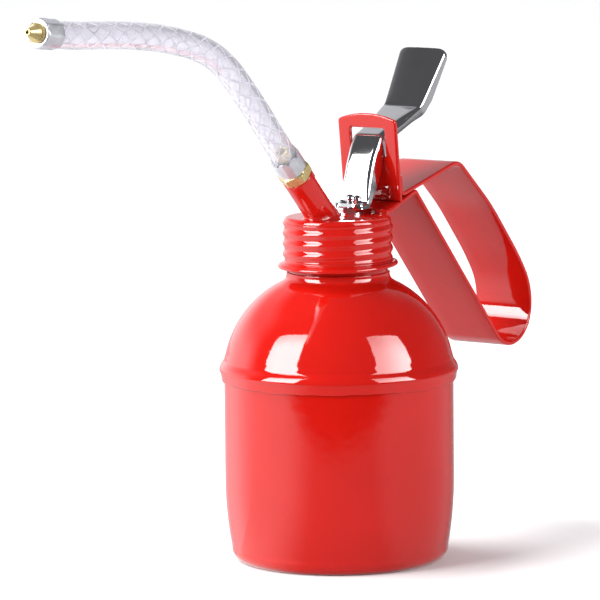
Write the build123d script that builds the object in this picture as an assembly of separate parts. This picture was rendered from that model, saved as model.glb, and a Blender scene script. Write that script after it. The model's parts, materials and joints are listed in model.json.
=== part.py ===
"""Lever pump oil can: a pressed steel can with a screw-on pump head.

Frame: +Z up, origin at the centre of the can's flat base. +X points to the handle, -X to the spout.
All sizes are in millimetres. Each sub-part is one function and one STEP file in parts/.
"""
from build123d import *
from math import cos, pi, radians, sin, sqrt, tan
import os

# ---- driving dimensions ----------------------------------------------------------------------
SHEET = 0.7                 # steel of the can, the dome and the cap
CAN_R = 37.5                # outer radius of the can's wall
BASE_FLAT_R = 31.5          # radius of the flat base
BASE_CORNER_R = 3.9         # bend between the base and the wall
SEAM_LOW_Z = 59.3           # lower edge of the rolled seam
SEAM_Z = 62.6               # widest level of the rolled seam
SEAM_TOP_Z = 66.1           # where the seam meets the dome
SEAM_BULGE = 1.6            # how far the seam stands out of the wall
DOME_ARC_R = 34.2           # radius of the dome's profile
DOME_ARC_X = 3.6            # centre of the dome's profile, from the axis
DOME_ARC_Z = 60.7           # centre of the dome's profile, height
COLLAR_R = 16.9             # dome's collar round the neck
COLLAR_TOP_Z = 94.8
NECK_R = 16.2               # neck tube, outside its thread
NECK_WALL = 0.7
NECK_LOW_Z = 90.6
NECK_TOP_Z = 110.4
THREAD_PITCH = 3.45
NECK_THREAD_LOW_Z = 98.2    # lowest turn of the neck's thread
CAP_THREAD_LOW_Z = 99.9     # lowest turn of the thread seen on the cap
CAP_BORE_R = 16.9
CAP_WALL_R = 17.35
CAP_CREST_R = 18.1          # crests of the rolled thread seen on the cap
CAP_LIP_R = 19.5
CAP_LIP_Z = 96.0
CAP_TOP_Z = 112.8
ROD_X = 7.3                 # axis of pump rod, barrel and dip tube
ROD_R = 1.3
BARREL_R = 7.5
BARREL_BORE_R = 6.7
BARREL_LOW_Z = 56.0
HEAD_PLUG_Z = 107.0         # underside of the plug that closes the barrel
STUD_R = 2.8                # hollow stud of that plug, through the cap
STUD_TOP_Z = 114.0
FOOT_TOP_Z = 116.4          # top of the lever's foot, under the rod's head
LEVER_SHEET = 1.1
LEVER_HALF = 5.5            # half the lever's width, at the foot and in the window
PADDLE_HALF = 9.4           # half the thumb paddle's width at its end
PADDLE_ROOT_HALF = 7.8      # and at its bend
ROD_HEAD_R = 1.7
STRIP = 1.4                 # thickness of the handle's strip
STRIP_HALF = 11.0
PLATE = 1.5                 # thickness of the upright bracket
PLATE_HALF = 11.3
PLATE_X = 20.6              # middle of the bracket at PLATE_Z
PLATE_Z = 117.0
PLATE_LEAN = 0.115          # how far it leans forward for each millimetre of height
WINDOW_HALF = 6.75
WINDOW_LOW_Z = 130.7
WINDOW_TOP_Z = 140.2
BOSS_FOOT = (-7.9, 112.8)   # where the spout's axis meets the cap, X and Z
BOSS_R = 5.1
BOSS_LENGTH = 21.4
SPOUT_BORE_R = 1.8
HEX_HALF = 4.9              # half the hose fitting's width across flats
HEX_TOP = 25.05             # top of the hose fitting's hexagon, along the boss's axis
BARB_TOP = 34.0             # end of its barb
BARB_BORE_R = 1.4
HOSE_R = 4.25
HOSE_BORE_R = 2.75
FERRULE_R = 5.05
FERRULE_TOP = 31.0          # upper edge of the ferrule on the fitting, along the boss's axis
TIP_FERRULE_R = 4.75
TIP_FERRULE_FRONT = 1.8     # front of the ferrule round the nozzle, past the hose's end
TIP_FERRULE_BACK = -6.2
NOZZLE_END = 6.5
NOZZLE_HOLE_R = 0.6
RUN_START_X = 15.05         # where the handle's lower run leaves the cap
RUN_BEND = (29.7, 117.97)   # sharp bend between the handle's lower run and its inner run
PISTON_BALL_R = 2.0
PISTON_SEAT_R = 1.5
PISTON_SEAT_Z = 70.0
FOOT_BALL_R = 2.3
FOOT_SEAT_R = 1.6
FOOT_SEAT_Z = 57.5
OUTLET_BALL_R = 2.4
OUTLET_SEAT = 8.0           # outlet valve's seat, along the boss's axis
OUTLET_POCKET_R = 3.0
BALL_GAP = 0.03             # what a closed valve's ball stands off its seat's edge
# Control points of the hose's route, X and Z, from the fitting to the nozzle. Y is 0 all along.
HOSE_ROUTE = [
    (-25.61, 130.51),
    (-33.0, 137.9),
    (-48.5, 154.6),
    (-66.5, 170.6),
    (-93.0, 176.9),
    (-118.0, 179.5),
    (-141.5, 180.55),
    (-154.5, 182.2),
]
# Outer side of the handle's strip, X and Z, from its tab behind the bracket to its foot on the cap.
HANDLE_CORNERS = [
    (21.85, 124.6), (22.5, 119.1), (56.0, 127.2), (76.5, 109.9), (92.5, 92.4), (101.6, 80.5),
    (101.6, 60.2), (83.1, 60.2), RUN_BEND, (RUN_START_X, CAP_TOP_Z), (12.2, CAP_TOP_Z),
]
HANDLE_BENDS = [0.8, 8.0, 60.0, 40.0, 20.0, 13.2, 11.5, 0.8, 5.0]
# Upper side of the lever's web, X and Z, from its foot to the paddle's end.
LEVER_CORNERS = [
    (4.6, FOOT_TOP_Z), (9.6, FOOT_TOP_Z), (9.9, 121.5), (13.0, 131.6), (17.4, 137.9), (38.1, 146.1),
    (50.8, 164.3),
]
LEVER_BENDS = [1.1, 22.0, 30.0, 3.0, 4.0]
DEG45 = sqrt(0.5)


# ---- helpers ---------------------------------------------------------------------------------
def turned(outline, axis_x=0.0):
    """A solid of revolution from (radius, height) points, about a vertical axis at axis_x."""
    face = make_face(Polyline([(r, 0, z) for r, z in outline], close=True))
    return Pos(axis_x, 0, 0) * revolve(face, Axis.Z, 360)


def tube(r_out, r_in, low, high, axis_x=0.0):
    """A plain tube between two heights; r_in of 0 makes it a rod."""
    body = Pos(axis_x, 0, low) * extrude(Circle(r_out), high - low)
    if r_in > 0:
        body -= Pos(axis_x, 0, low - 1) * extrude(Circle(r_in), high - low + 2)
    return body


def slanted(length_from, origin, direction):
    """The location at a distance along an axis in the XZ plane, with +Z along that axis."""
    dx, dz = direction
    start = (origin[0] + dx * length_from, 0, origin[1] + dz * length_from)
    return Plane(origin=start, x_dir=(0, 1, 0), z_dir=(dx, 0, dz)).location


def along(origin, direction, r_out, r_in, start, end):
    """A tube on a slanted axis, from start to end along it."""
    ring = Circle(r_out) - Circle(r_in) if r_in > 0 else Circle(r_out)
    return slanted(start, origin, direction) * extrude(ring, end - start)


def turned_along(origin, direction, outline):
    """A solid of revolution about a slanted axis, from (radius, distance along) points."""
    face = make_face(Polyline([(r, 0, s) for r, s in outline], close=True))
    return slanted(0, origin, direction) * revolve(face, Axis.Z, 360)


def thread_rings(root_r, crest_r, root_width, crest_width, lowest, count):
    """Rings one thread pitch apart that stand for a rolled thread."""
    rings = []
    for i in range(count):
        z = lowest + i * THREAD_PITCH
        rings.append(turned([
            (root_r, z - root_width / 2), (crest_r, z - crest_width / 2), (crest_r, z + crest_width / 2),
            (root_r, z + root_width / 2),
        ]))
    return rings


def bent_sheet(corners, bends, thickness):
    """Side profile of a bent sheet whose other face lies to the right of the given corners.

    Returns its outline as two filleted lines, the given one and the one a thickness to its right.
    """
    steps = [((x1 - x0), (z1 - z0)) for (x0, z0), (x1, z1) in zip(corners, corners[1:])]
    normals = [(dz / sqrt(dx * dx + dz * dz), -dx / sqrt(dx * dx + dz * dz)) for dx, dz in steps]
    before, after = [normals[0]] + normals, normals + [normals[-1]]
    moved, other_bends = [], []
    for (x, z), (ax, az), (bx, bz) in zip(corners, before, after):
        reach = thickness / (1 + ax * bx + az * bz)
        moved.append((x + (ax + bx) * reach, z + (az + bz) * reach))
    for (ax, az), (bx, bz), bend in zip(normals, normals[1:], bends):
        turns_right = ax * bz - az * bx < 0
        other_bends.append(bend - thickness if turns_right else bend + thickness)
    given = FilletPolyline([(x, 0, z) for x, z in corners], radius=bends)
    other = FilletPolyline([(x, 0, z) for x, z in moved], radius=other_bends)
    return given, other


def sheet_face(corners, bends, thickness):
    """Face of a bent sheet's side profile."""
    given, other = bent_sheet(corners, bends, thickness)
    ends = [Line(given @ 0, other @ 0), Line(given @ 1, other @ 1)]
    return make_face(Wire(given.edges() + other.edges() + ends))


def run_top_z(x):
    """Height of the upper face of the handle's lower run."""
    slope = (RUN_BEND[1] - CAP_TOP_Z) / (RUN_BEND[0] - RUN_START_X)
    return CAP_TOP_Z + slope * (x - RUN_START_X) + STRIP * sqrt(1 + slope * slope)


def plate_x(z):
    """X of the bracket's middle plane at a height."""
    return PLATE_X - PLATE_LEAN * (z - PLATE_Z)


# ---- can -------------------------------------------------------------------------------------
def can_wall(inset):
    """The can's profile, moved in by inset, as a solid up to the seam's flange."""
    r, flat, corner = CAN_R - inset, BASE_FLAT_R, BASE_CORNER_R - inset
    low = inset
    mid_r, mid_z = 35.5 - inset, 4.6
    return make_face([
        Line((0, 0, low), (flat, 0, low)),
        ThreePointArc((flat, 0, low), (flat + corner * 0.72, 0, low + corner * 0.3), (mid_r, 0, mid_z)),
        ThreePointArc((mid_r, 0, mid_z), (r - 0.75, 0, 13.0), (r, 0, 27.0)),
        Line((r, 0, 27.0), (r, 0, SEAM_Z - 0.4)),
        Line((r, 0, SEAM_Z - 0.4), (0, 0, SEAM_Z - 0.4)),
        Line((0, 0, SEAM_Z - 0.4), (0, 0, low)),
    ])


def reservoir_cup():
    """Drawn steel can with an out-turned flange at its rim."""
    shell = revolve(can_wall(0), Axis.Z, 360) - revolve(can_wall(SHEET), Axis.Z, 360)
    flange = tube(CAN_R + 0.8, CAN_R - SHEET, SEAM_Z - 0.4, SEAM_Z + 0.3)
    return shell + flange


def dome_arc_z(r, inset=0.0):
    """Height of the dome's profile at a radius."""
    return DOME_ARC_Z + sqrt((DOME_ARC_R - inset) ** 2 - (r - DOME_ARC_X) ** 2)


def reservoir_dome():
    """Dome whose skirt is rolled over the can's flange, with a short collar round the neck."""
    top_r, in_r = 21.0, 21.3
    mid_r = 33.0
    seam_r = CAN_R + SEAM_BULGE
    outer = make_face([
        Line((0, 0, SEAM_LOW_Z), (CAN_R + 0.35, 0, SEAM_LOW_Z)),
        Spline((CAN_R + 0.35, 0, SEAM_LOW_Z), (CAN_R + 1.2, 0, SEAM_LOW_Z + 2.0), (seam_r, 0, SEAM_Z),
               (CAN_R + 1.0, 0, SEAM_Z + 2.2), (CAN_R, 0, SEAM_TOP_Z)),
        ThreePointArc((CAN_R, 0, SEAM_TOP_Z), (mid_r, 0, dome_arc_z(mid_r)), (top_r, 0, dome_arc_z(top_r))),
        Spline((top_r, 0, dome_arc_z(top_r)), (18.2, 0, 91.5), (COLLAR_R, 0, COLLAR_TOP_Z - 1.4)),
        Line((COLLAR_R, 0, COLLAR_TOP_Z - 1.4), (COLLAR_R, 0, COLLAR_TOP_Z)),
        Line((COLLAR_R, 0, COLLAR_TOP_Z), (0, 0, COLLAR_TOP_Z)),
        Line((0, 0, COLLAR_TOP_Z), (0, 0, SEAM_LOW_Z)),
    ])
    collar_in = NECK_R + 0.02
    inner = make_face([
        Line((0, 0, SEAM_LOW_Z - 1), (CAN_R + 0.02, 0, SEAM_LOW_Z - 1)),
        Line((CAN_R + 0.02, 0, SEAM_LOW_Z - 1), (CAN_R + 0.02, 0, SEAM_Z - 1.3)),
        Line((CAN_R + 0.02, 0, SEAM_Z - 1.3), (CAN_R + 0.9, 0, SEAM_Z - 0.45)),
        Line((CAN_R + 0.9, 0, SEAM_Z - 0.45), (CAN_R + 0.9, 0, SEAM_Z + 0.35)),
        Line((CAN_R + 0.9, 0, SEAM_Z + 0.35), (CAN_R - SHEET, 0, SEAM_TOP_Z)),
        ThreePointArc((CAN_R - SHEET, 0, SEAM_TOP_Z), (mid_r, 0, dome_arc_z(mid_r, SHEET)),
                      (in_r, 0, dome_arc_z(in_r, SHEET))),
        Spline((in_r, 0, dome_arc_z(in_r, SHEET)), (18.0, 0, 90.6), (collar_in, 0, COLLAR_TOP_Z - 2.2)),
        Line((collar_in, 0, COLLAR_TOP_Z - 2.2), (collar_in, 0, COLLAR_TOP_Z + 1)),
        Line((collar_in, 0, COLLAR_TOP_Z + 1), (0, 0, COLLAR_TOP_Z + 1)),
        Line((0, 0, COLLAR_TOP_Z + 1), (0, 0, SEAM_LOW_Z - 1)),
    ])
    return revolve(outer, Axis.Z, 360) - revolve(inner, Axis.Z, 360)


def threaded_neck():
    """Neck tube soldered into the collar, with the thread that the cap screws on."""
    neck = tube(NECK_R, NECK_R - NECK_WALL, NECK_LOW_Z, NECK_TOP_Z)
    return neck + thread_rings(NECK_R - 0.15, NECK_R + 0.45, 1.8, 0.7, NECK_THREAD_LOW_Z, 4)


# ---- cap and pump barrel ---------------------------------------------------------------------
def screw_cap():
    """Pressed screw cap with a rolled thread, a flared lip and holes for stud and spout."""
    cap = turned([
        (0, CAP_TOP_Z), (16.0, CAP_TOP_Z), (16.7, CAP_TOP_Z - 0.2), (17.0, CAP_TOP_Z - 0.7),
        (CAP_WALL_R, CAP_TOP_Z - 2.0), (CAP_WALL_R, 99.0), (17.9, 98.0), (CAP_LIP_R, CAP_LIP_Z + 1.0),
        (CAP_LIP_R + 0.1, CAP_LIP_Z + 0.4), (CAP_LIP_R - 0.4, CAP_LIP_Z), (18.6, CAP_LIP_Z + 0.2),
        (17.3, 97.5), (CAP_BORE_R, 98.4), (CAP_BORE_R, CAP_TOP_Z - SHEET), (0, CAP_TOP_Z - SHEET),
    ])
    cap += thread_rings(CAP_WALL_R - 0.15, CAP_CREST_R, 2.5, 0.8, CAP_THREAD_LOW_Z, 4)
    cap -= tube(STUD_R + 0.05, 0, CAP_TOP_Z - 2, CAP_TOP_Z + 1, ROD_X)
    return cap - along(BOSS_FOOT, (-DEG45, DEG45), SPOUT_BORE_R, 0, -4, 4)


def cap_gasket():
    """Flat sealing ring between the neck's rim and the cap."""
    return tube(16.6, 14.95, NECK_TOP_Z, CAP_TOP_Z - SHEET)


def pump_barrel():
    """Tube that the piston runs in, with the delivery port near its top."""
    barrel = tube(BARREL_R, BARREL_BORE_R, BARREL_LOW_Z, CAP_TOP_Z - SHEET, ROD_X)
    return barrel - along(BOSS_FOOT, (DEG45, -DEG45), SPOUT_BORE_R, 0, 6, 16)


def barrel_plug():
    """Plug of the barrel, with the hollow stud that passes through the cap."""
    plug = turned([
        (ROD_R + 0.05, HEAD_PLUG_Z), (BARREL_BORE_R - 0.02, HEAD_PLUG_Z),
        (BARREL_BORE_R - 0.02, CAP_TOP_Z - SHEET), (STUD_R, CAP_TOP_Z - SHEET), (STUD_R, STUD_TOP_Z),
        (2.2, STUD_TOP_Z), (2.2, 110.0), (ROD_R + 0.05, 110.0),
    ], ROD_X)
    return plug


def gland_packing():
    """Packing ring in the stud, round the rod."""
    return tube(2.15, ROD_R + 0.05, 110.0, 113.9, ROD_X)


def gland_washer():
    """Plated washer under the gland nut."""
    return tube(4.5, STUD_R + 0.06, CAP_TOP_Z, CAP_TOP_Z + 0.7, ROD_X)


def gland_nut():
    """Low hexagon nut that closes the gland and clamps the cap to the pump."""
    low, high = CAP_TOP_Z + 0.7, 115.0
    nut = Pos(ROD_X, 0, low) * extrude(RegularPolygon(3.6, 6, major_radius=False), high - low)
    nut -= tube(STUD_R + 0.04, 0, low - 1, STUD_TOP_Z + 0.1, ROD_X)
    return nut - tube(ROD_R + 0.15, 0, STUD_TOP_Z, high + 1, ROD_X)


def delivery_tube():
    """Slanted tube from the barrel's port up to the cap, in line with the spout."""
    duct = along(BOSS_FOOT, (DEG45, -DEG45), 2.7, SPOUT_BORE_R, -3, 16)
    duct -= tube(BARREL_R, 0, 90, 116, ROD_X)
    return duct - Pos(0, 0, CAP_TOP_Z - SHEET) * extrude(Rectangle(80, 80), 20)


def spout_boss():
    """Slanted tube brazed on the cap, bored for the outlet valve."""
    boss = along(BOSS_FOOT, (-DEG45, DEG45), BOSS_R, SPOUT_BORE_R, -8, BOSS_LENGTH)
    boss -= along(BOSS_FOOT, (-DEG45, DEG45), OUTLET_POCKET_R, 0, OUTLET_SEAT, BOSS_LENGTH + 1)
    return boss - Pos(0, 0, CAP_TOP_Z - 20) * extrude(Rectangle(80, 80), 20)


def outlet_ball():
    """Ball of the outlet valve, just clear of its seat in the boss."""
    height = OUTLET_SEAT + sqrt(OUTLET_BALL_R**2 - SPOUT_BORE_R**2) + BALL_GAP
    return slanted(height, BOSS_FOOT, (-DEG45, DEG45)) * Sphere(OUTLET_BALL_R)


# ---- plunger and inlet -----------------------------------------------------------------------
def pump_rod():
    """Rod from the piston up to its head."""
    return tube(ROD_R, 0, 76.3, FOOT_TOP_Z + 1.9, ROD_X)


def rod_head():
    """Round head that the lever's foot lifts."""
    ball = Pos(ROD_X, 0, FOOT_TOP_Z + 1.25) * Sphere(ROD_HEAD_R)
    return ball - tube(ROD_R, 0, FOOT_TOP_Z - 2, FOOT_TOP_Z + 1.9, ROD_X)


def piston_body():
    """Piston with a valve chamber, two side ports and a spigot for its cup seal."""
    body = turned([
        (2.6, 70), (3.6, 70), (3.6, 73.6), (4.8, 73.6), (4.8, 79), (ROD_R, 79), (ROD_R, 76.3), (0, 76.3),
        (0, 75.5), (2.6, 75.5),
    ], ROD_X)
    port = Plane(origin=(ROD_X - 8, 0, 74.9), z_dir=(1, 0, 0)).location * extrude(Circle(0.9), 16)
    return body - port


def piston_seal():
    """Cup seal round the piston's spigot, its lip towards the oil that is lifted."""
    return turned([(3.6, 70), (6.65, 70), (6.65, 73.4), (5.9, 73.4), (5.5, 71.3), (3.6, 71.3)], ROD_X)


def piston_seat():
    """Screwed ring under the seal that is also the piston valve's seat."""
    return tube(5.8, PISTON_SEAT_R, PISTON_SEAT_Z - 2.1, PISTON_SEAT_Z, ROD_X)


def valve_ball(ball_r, seat_r, seat_z):
    """A ball on the rod's axis, just clear of its seat's edge."""
    return Pos(ROD_X, 0, seat_z + sqrt(ball_r**2 - seat_r**2) + BALL_GAP) * Sphere(ball_r)


def return_spring():
    """Coil spring round the rod, from the piston to the barrel's plug."""
    wire_r, low, high = 0.45, 79.5, HEAD_PLUG_Z - 0.5
    path = Helix((high - low) / 7, high - low, 3.6)
    section = Plane(origin=path @ 0, z_dir=path % 0) * Circle(wire_r)
    return Pos(ROD_X, 0, low) * sweep(section, path=path, is_frenet=True)


def foot_valve_body():
    """Plug of the barrel's lower end: inlet seat, ball pocket and stem for the dip tube."""
    fit_r = BARREL_BORE_R - 0.02
    return turned([
        (1.3, 48.0), (2.0, 48.0), (2.0, 53.0), (BARREL_R, 53.0), (BARREL_R, BARREL_LOW_Z),
        (fit_r, BARREL_LOW_Z), (fit_r, 62.6), (3.9, 62.6), (3.9, FOOT_SEAT_Z), (FOOT_SEAT_R, FOOT_SEAT_Z),
        (1.3, 56.5),
    ], ROD_X)


def foot_ball_retainer():
    """Drilled disc that keeps the inlet ball in its pocket."""
    disc = tube(BARREL_BORE_R - 0.02, 1.7, 62.6, 63.5, ROD_X)
    for i in range(3):
        a = radians(60 + 120 * i)
        disc -= tube(0.7, 0, 62, 64, 0).moved(Location((ROD_X + 3.1 * cos(a), 3.1 * sin(a), 0)))
    return disc


def dip_tube():
    """Tube from the inlet valve down to the bottom of the can."""
    return tube(3.0, 2.02, 7.0, 52.9, ROD_X)


def inlet_strainer():
    """Cup with slots, pushed over the lower end of the dip tube."""
    cup = tube(3.9, 3.02, 3.4, 13.0, ROD_X) + tube(3.9, 0, 2.6, 3.4, ROD_X)
    for i in range(3):
        cup -= Pos(ROD_X, 0, 5.0) * Rot(0, 0, 60 * i) * Box(12, 0.9, 2.4)
    return cup


# ---- handle, bracket and lever ---------------------------------------------------------------
def handle_strip():
    """Flat steel strip bent into a closed loop, from the bracket round to the cap."""
    side = sheet_face(HANDLE_CORNERS, HANDLE_BENDS, STRIP)
    return extrude(side, STRIP_HALF, dir=(0, 1, 0), both=True)


def lever_bracket():
    """Upright plate with an arched top and the window that the lever passes through."""
    shoulder_z, crown_z = 142.9, 145.0
    front_low = (plate_x(PLATE_Z) - PLATE / 2, run_top_z(plate_x(PLATE_Z) - PLATE / 2))
    back_low = (plate_x(PLATE_Z) + PLATE / 2, run_top_z(plate_x(PLATE_Z) + PLATE / 2))
    side = make_face(Polyline(
        (front_low[0], 0, front_low[1]), (back_low[0], 0, back_low[1]),
        (plate_x(crown_z) + PLATE / 2, 0, crown_z), (plate_x(crown_z) - PLATE / 2, 0, crown_z), close=True,
    ))
    plate = extrude(side, PLATE_HALF, dir=(0, 1, 0), both=True)
    face = make_face([
        Line((0, -PLATE_HALF, 100), (0, -PLATE_HALF, shoulder_z)),
        ThreePointArc((0, -PLATE_HALF, shoulder_z), (0, 0, crown_z), (0, PLATE_HALF, shoulder_z)),
        Line((0, PLATE_HALF, shoulder_z), (0, PLATE_HALF, 100)),
        Line((0, PLATE_HALF, 100), (0, -PLATE_HALF, 100)),
    ])
    plate &= extrude(face, 60, dir=(1, 0, 0))
    height = WINDOW_TOP_Z - WINDOW_LOW_Z
    hole = Plane(origin=(0, 0, WINDOW_LOW_Z + height / 2), x_dir=(0, 1, 0), z_dir=(1, 0, 0)).location
    return plate - hole * extrude(RectangleRounded(2 * WINDOW_HALF, height, 0.9), 60)


def lever_plan(inset):
    """Outline of the lever from above, moved in by inset: narrow foot, widening paddle."""
    narrow = LEVER_HALF - inset
    (bend_x, _), (end_x, _) = LEVER_CORNERS[-2:]
    half = [(0, narrow), (22.0, narrow), (bend_x, PADDLE_ROOT_HALF - inset), (end_x, PADDLE_HALF - inset),
            (end_x + 5, PADDLE_HALF - inset)]
    return make_face(Polyline(half + [(x, -y) for x, y in reversed(half)], close=True))


def thumb_lever():
    """Pressed channel: forked foot, curved web through the window, bent-up thumb paddle."""
    path = FilletPolyline([(x, 0, z) for x, z in LEVER_CORNERS], radius=LEVER_BENDS)
    web = sheet_face(LEVER_CORNERS, LEVER_BENDS, LEVER_SHEET)
    under = [
        (4.6, FOOT_TOP_Z), (4.6, FOOT_TOP_Z - LEVER_SHEET), (10.0, FOOT_TOP_Z - LEVER_SHEET),
        (12.6, 117.2), (14.3, 120.6), (15.3, 124.2), (16.3, 127.6), (17.5, 130.2), (18.0, 131.0),
        (19.9, 131.6), (24.0, 135.4), (28.1, 138.8), (33.5, 141.6), (40.1, 143.2), (45.3, 149.8),
        (52.9, 161.7), (51.7, 163.6), LEVER_CORNERS[-1],
    ]
    rim = Polyline([(x, 0, z) for x, z in under])
    block = make_face(Wire(path.edges() + rim.edges()))
    solid = extrude(block, PADDLE_HALF + 1, dir=(0, 1, 0), both=True)
    solid &= Pos(0, 0, 100) * extrude(lever_plan(0), 80)
    hollow = extrude(block, PADDLE_HALF + 1, dir=(0, 1, 0), both=True)
    hollow -= extrude(web, PADDLE_HALF + 2, dir=(0, 1, 0), both=True)
    hollow &= Pos(0, 0, 100) * extrude(lever_plan(LEVER_SHEET), 80)
    solid -= hollow
    slot_half = ROD_R + 0.15
    slot = Pos(6.0, 0) * Rectangle(5.0, 2 * slot_half) + Pos(8.5, 0) * Circle(slot_half)
    return solid - Pos(0, 0, 113) * extrude(slot, 5.4)


# ---- spout hose ------------------------------------------------------------------------------
def hose_fitting():
    """Hexagon fitting screwed into the boss, with a barb in the hose."""
    axis = (BOSS_FOOT, (-DEG45, DEG45))
    hexagon = RegularPolygon(HEX_HALF, 6, major_radius=False)
    body = slanted(BOSS_LENGTH, *axis) * extrude(hexagon, HEX_TOP - BOSS_LENGTH)
    body += along(*axis, OUTLET_POCKET_R - 0.05, 0, BOSS_LENGTH - 3.5, BOSS_LENGTH)
    barb = [(0, HEX_TOP), (2.3, HEX_TOP)]
    for i in range(3):
        low = HEX_TOP + 1.6 + 2.4 * i
        barb += [(2.3, low), (2.6, low), (2.3, low + 2.0)]
    barb += [(2.1, BARB_TOP), (0, BARB_TOP)]
    body += turned_along(*axis, barb)
    return body - along(*axis, BARB_BORE_R, 0, BOSS_LENGTH - 8, BARB_TOP + 3)


def base_ferrule():
    """Crimped ferrule that holds the hose on its fitting."""
    axis = (BOSS_FOOT, (-DEG45, DEG45))
    low, high, neck = HEX_TOP + 0.05, FERRULE_TOP, FERRULE_R - 0.2
    return turned_along(*axis, [
        (HOSE_R + 0.08, low), (FERRULE_R - 0.2, low), (FERRULE_R, low + 0.35), (FERRULE_R, low + 1.4),
        (neck, low + 2.0), (neck, high - 2.0), (FERRULE_R, high - 1.4), (FERRULE_R, high - 0.3),
        (FERRULE_R - 0.2, high), (HOSE_R + 0.08, high),
    ])


def hose_points():
    """The hose's control points as vectors."""
    return [Vector(x, 0, z) for x, z in HOSE_ROUTE]


def hose_radii(points):
    """One bend radius for each inner point, as large as its two runs allow."""
    radii = []
    for before, here, after in zip(points, points[1:], points[2:]):
        turn = (here - before).get_angle(after - here)
        run = min((here - before).length, (after - here).length)
        radii.append(0.45 * run / tan(radians(turn) / 2))
    return radii


def hose():
    """Flexible hose of the spout, along straight runs joined by tangent arcs."""
    points = hose_points()
    radii = hose_radii(points)
    path = FilletPolyline(points, radius=radii)
    start = Plane(origin=points[0], z_dir=points[1] - points[0])
    body = sweep(start * (Circle(HOSE_R) - Circle(HOSE_BORE_R)), path=path)
    ring = pi * (HOSE_R**2 - HOSE_BORE_R**2)
    print("hose bends", [round(r, 1) for r in radii], "length", round(path.length, 1))
    print("hose volume", round(body.volume, 1), "section times length", round(ring * path.length, 1))
    return body


def hose_end():
    """The hose's far end and the direction it points there."""
    last, before = hose_points()[-1], hose_points()[-2]
    direction = (last - before).normalized()
    return (last.X, last.Z), (direction.X, direction.Z)


def tip_ferrule():
    """Crimped ferrule round the hose's end, closed in front round the nozzle."""
    back, front, r = TIP_FERRULE_BACK, TIP_FERRULE_FRONT, TIP_FERRULE_R
    return turned_along(*hose_end(), [
        (HOSE_R + 0.02, back), (r - 0.2, back), (r, back + 0.4), (r, back + 1.6), (r - 0.2, back + 2.2),
        (r - 0.2, back + 3.8), (r, back + 4.4), (r, front - 0.9), (r - 0.45, front), (2.72, front),
        (2.72, 0.02), (HOSE_R + 0.02, 0.02),
    ])


def nozzle_tip():
    """Turned nozzle: barb in the hose, body and cone with the outlet hole."""
    front, end = TIP_FERRULE_FRONT + 0.02, NOZZLE_END
    nozzle = turned_along(*hose_end(), [
        (0, -6.0), (2.2, -6.0), (2.6, -4.3), (2.3, -4.3), (2.3, -4.0), (2.6, -2.2), (2.3, -2.2),
        (2.3, 0.0), (2.7, 0.0), (2.7, front), (3.1, front), (3.1, front + 0.5), (2.95, front + 0.7),
        (1.15, end - 0.3), (0.9, end), (0, end),
    ])
    nozzle -= along(*hose_end(), 1.3, 0, -7, end - 2.5)
    return nozzle - along(*hose_end(), NOZZLE_HOLE_R, 0, end - 3, end + 1)


# ---- all sub-parts ---------------------------------------------------------------------------
NODES = {
    "reservoir_cup": reservoir_cup,
    "reservoir_dome": reservoir_dome,
    "threaded_neck": threaded_neck,
    "cap_gasket": cap_gasket,
    "screw_cap": screw_cap,
    "pump_barrel": pump_barrel,
    "barrel_plug": barrel_plug,
    "gland_packing": gland_packing,
    "gland_washer": gland_washer,
    "gland_nut": gland_nut,
    "delivery_tube": delivery_tube,
    "spout_boss": spout_boss,
    "outlet_ball": outlet_ball,
    "pump_rod": pump_rod,
    "rod_head": rod_head,
    "piston_body": piston_body,
    "piston_seal": piston_seal,
    "piston_seat": piston_seat,
    "piston_ball": lambda: valve_ball(PISTON_BALL_R, PISTON_SEAT_R, PISTON_SEAT_Z),
    "return_spring": return_spring,
    "foot_valve_body": foot_valve_body,
    "foot_ball": lambda: valve_ball(FOOT_BALL_R, FOOT_SEAT_R, FOOT_SEAT_Z),
    "foot_ball_retainer": foot_ball_retainer,
    "dip_tube": dip_tube,
    "inlet_strainer": inlet_strainer,
    "handle_strip": handle_strip,
    "lever_bracket": lever_bracket,
    "thumb_lever": thumb_lever,
    "hose_fitting": hose_fitting,
    "base_ferrule": base_ferrule,
    "hose": hose,
    "tip_ferrule": tip_ferrule,
    "nozzle_tip": nozzle_tip,
}


def main():
    os.makedirs("parts", exist_ok=True)
    for name, build in NODES.items():
        shape = build()
        export_step(shape, f"parts/{name}.step")
        print(name, round(shape.volume, 2))


main()
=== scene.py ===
import json
from math import acos, asin, atan2, cos, degrees, hypot, pi, radians, sin, sqrt, tan

import bmesh
import bpy
from mathutils import Matrix, Vector


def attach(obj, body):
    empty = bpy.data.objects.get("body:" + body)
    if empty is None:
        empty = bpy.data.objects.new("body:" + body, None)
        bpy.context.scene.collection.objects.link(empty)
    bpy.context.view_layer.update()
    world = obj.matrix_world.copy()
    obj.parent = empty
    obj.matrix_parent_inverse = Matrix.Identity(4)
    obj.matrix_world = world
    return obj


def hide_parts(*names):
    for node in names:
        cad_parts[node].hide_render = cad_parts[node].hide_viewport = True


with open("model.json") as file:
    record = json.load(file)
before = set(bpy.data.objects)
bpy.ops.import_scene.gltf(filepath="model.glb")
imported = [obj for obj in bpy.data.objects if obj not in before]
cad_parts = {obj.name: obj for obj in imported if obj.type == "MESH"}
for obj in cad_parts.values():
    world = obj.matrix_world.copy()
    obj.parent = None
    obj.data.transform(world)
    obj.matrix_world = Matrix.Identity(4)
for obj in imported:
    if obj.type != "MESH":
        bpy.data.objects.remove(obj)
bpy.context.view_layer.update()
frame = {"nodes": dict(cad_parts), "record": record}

MM = 0.001
SCENE = bpy.context.scene
LAYER = bpy.context.view_layer

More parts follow.
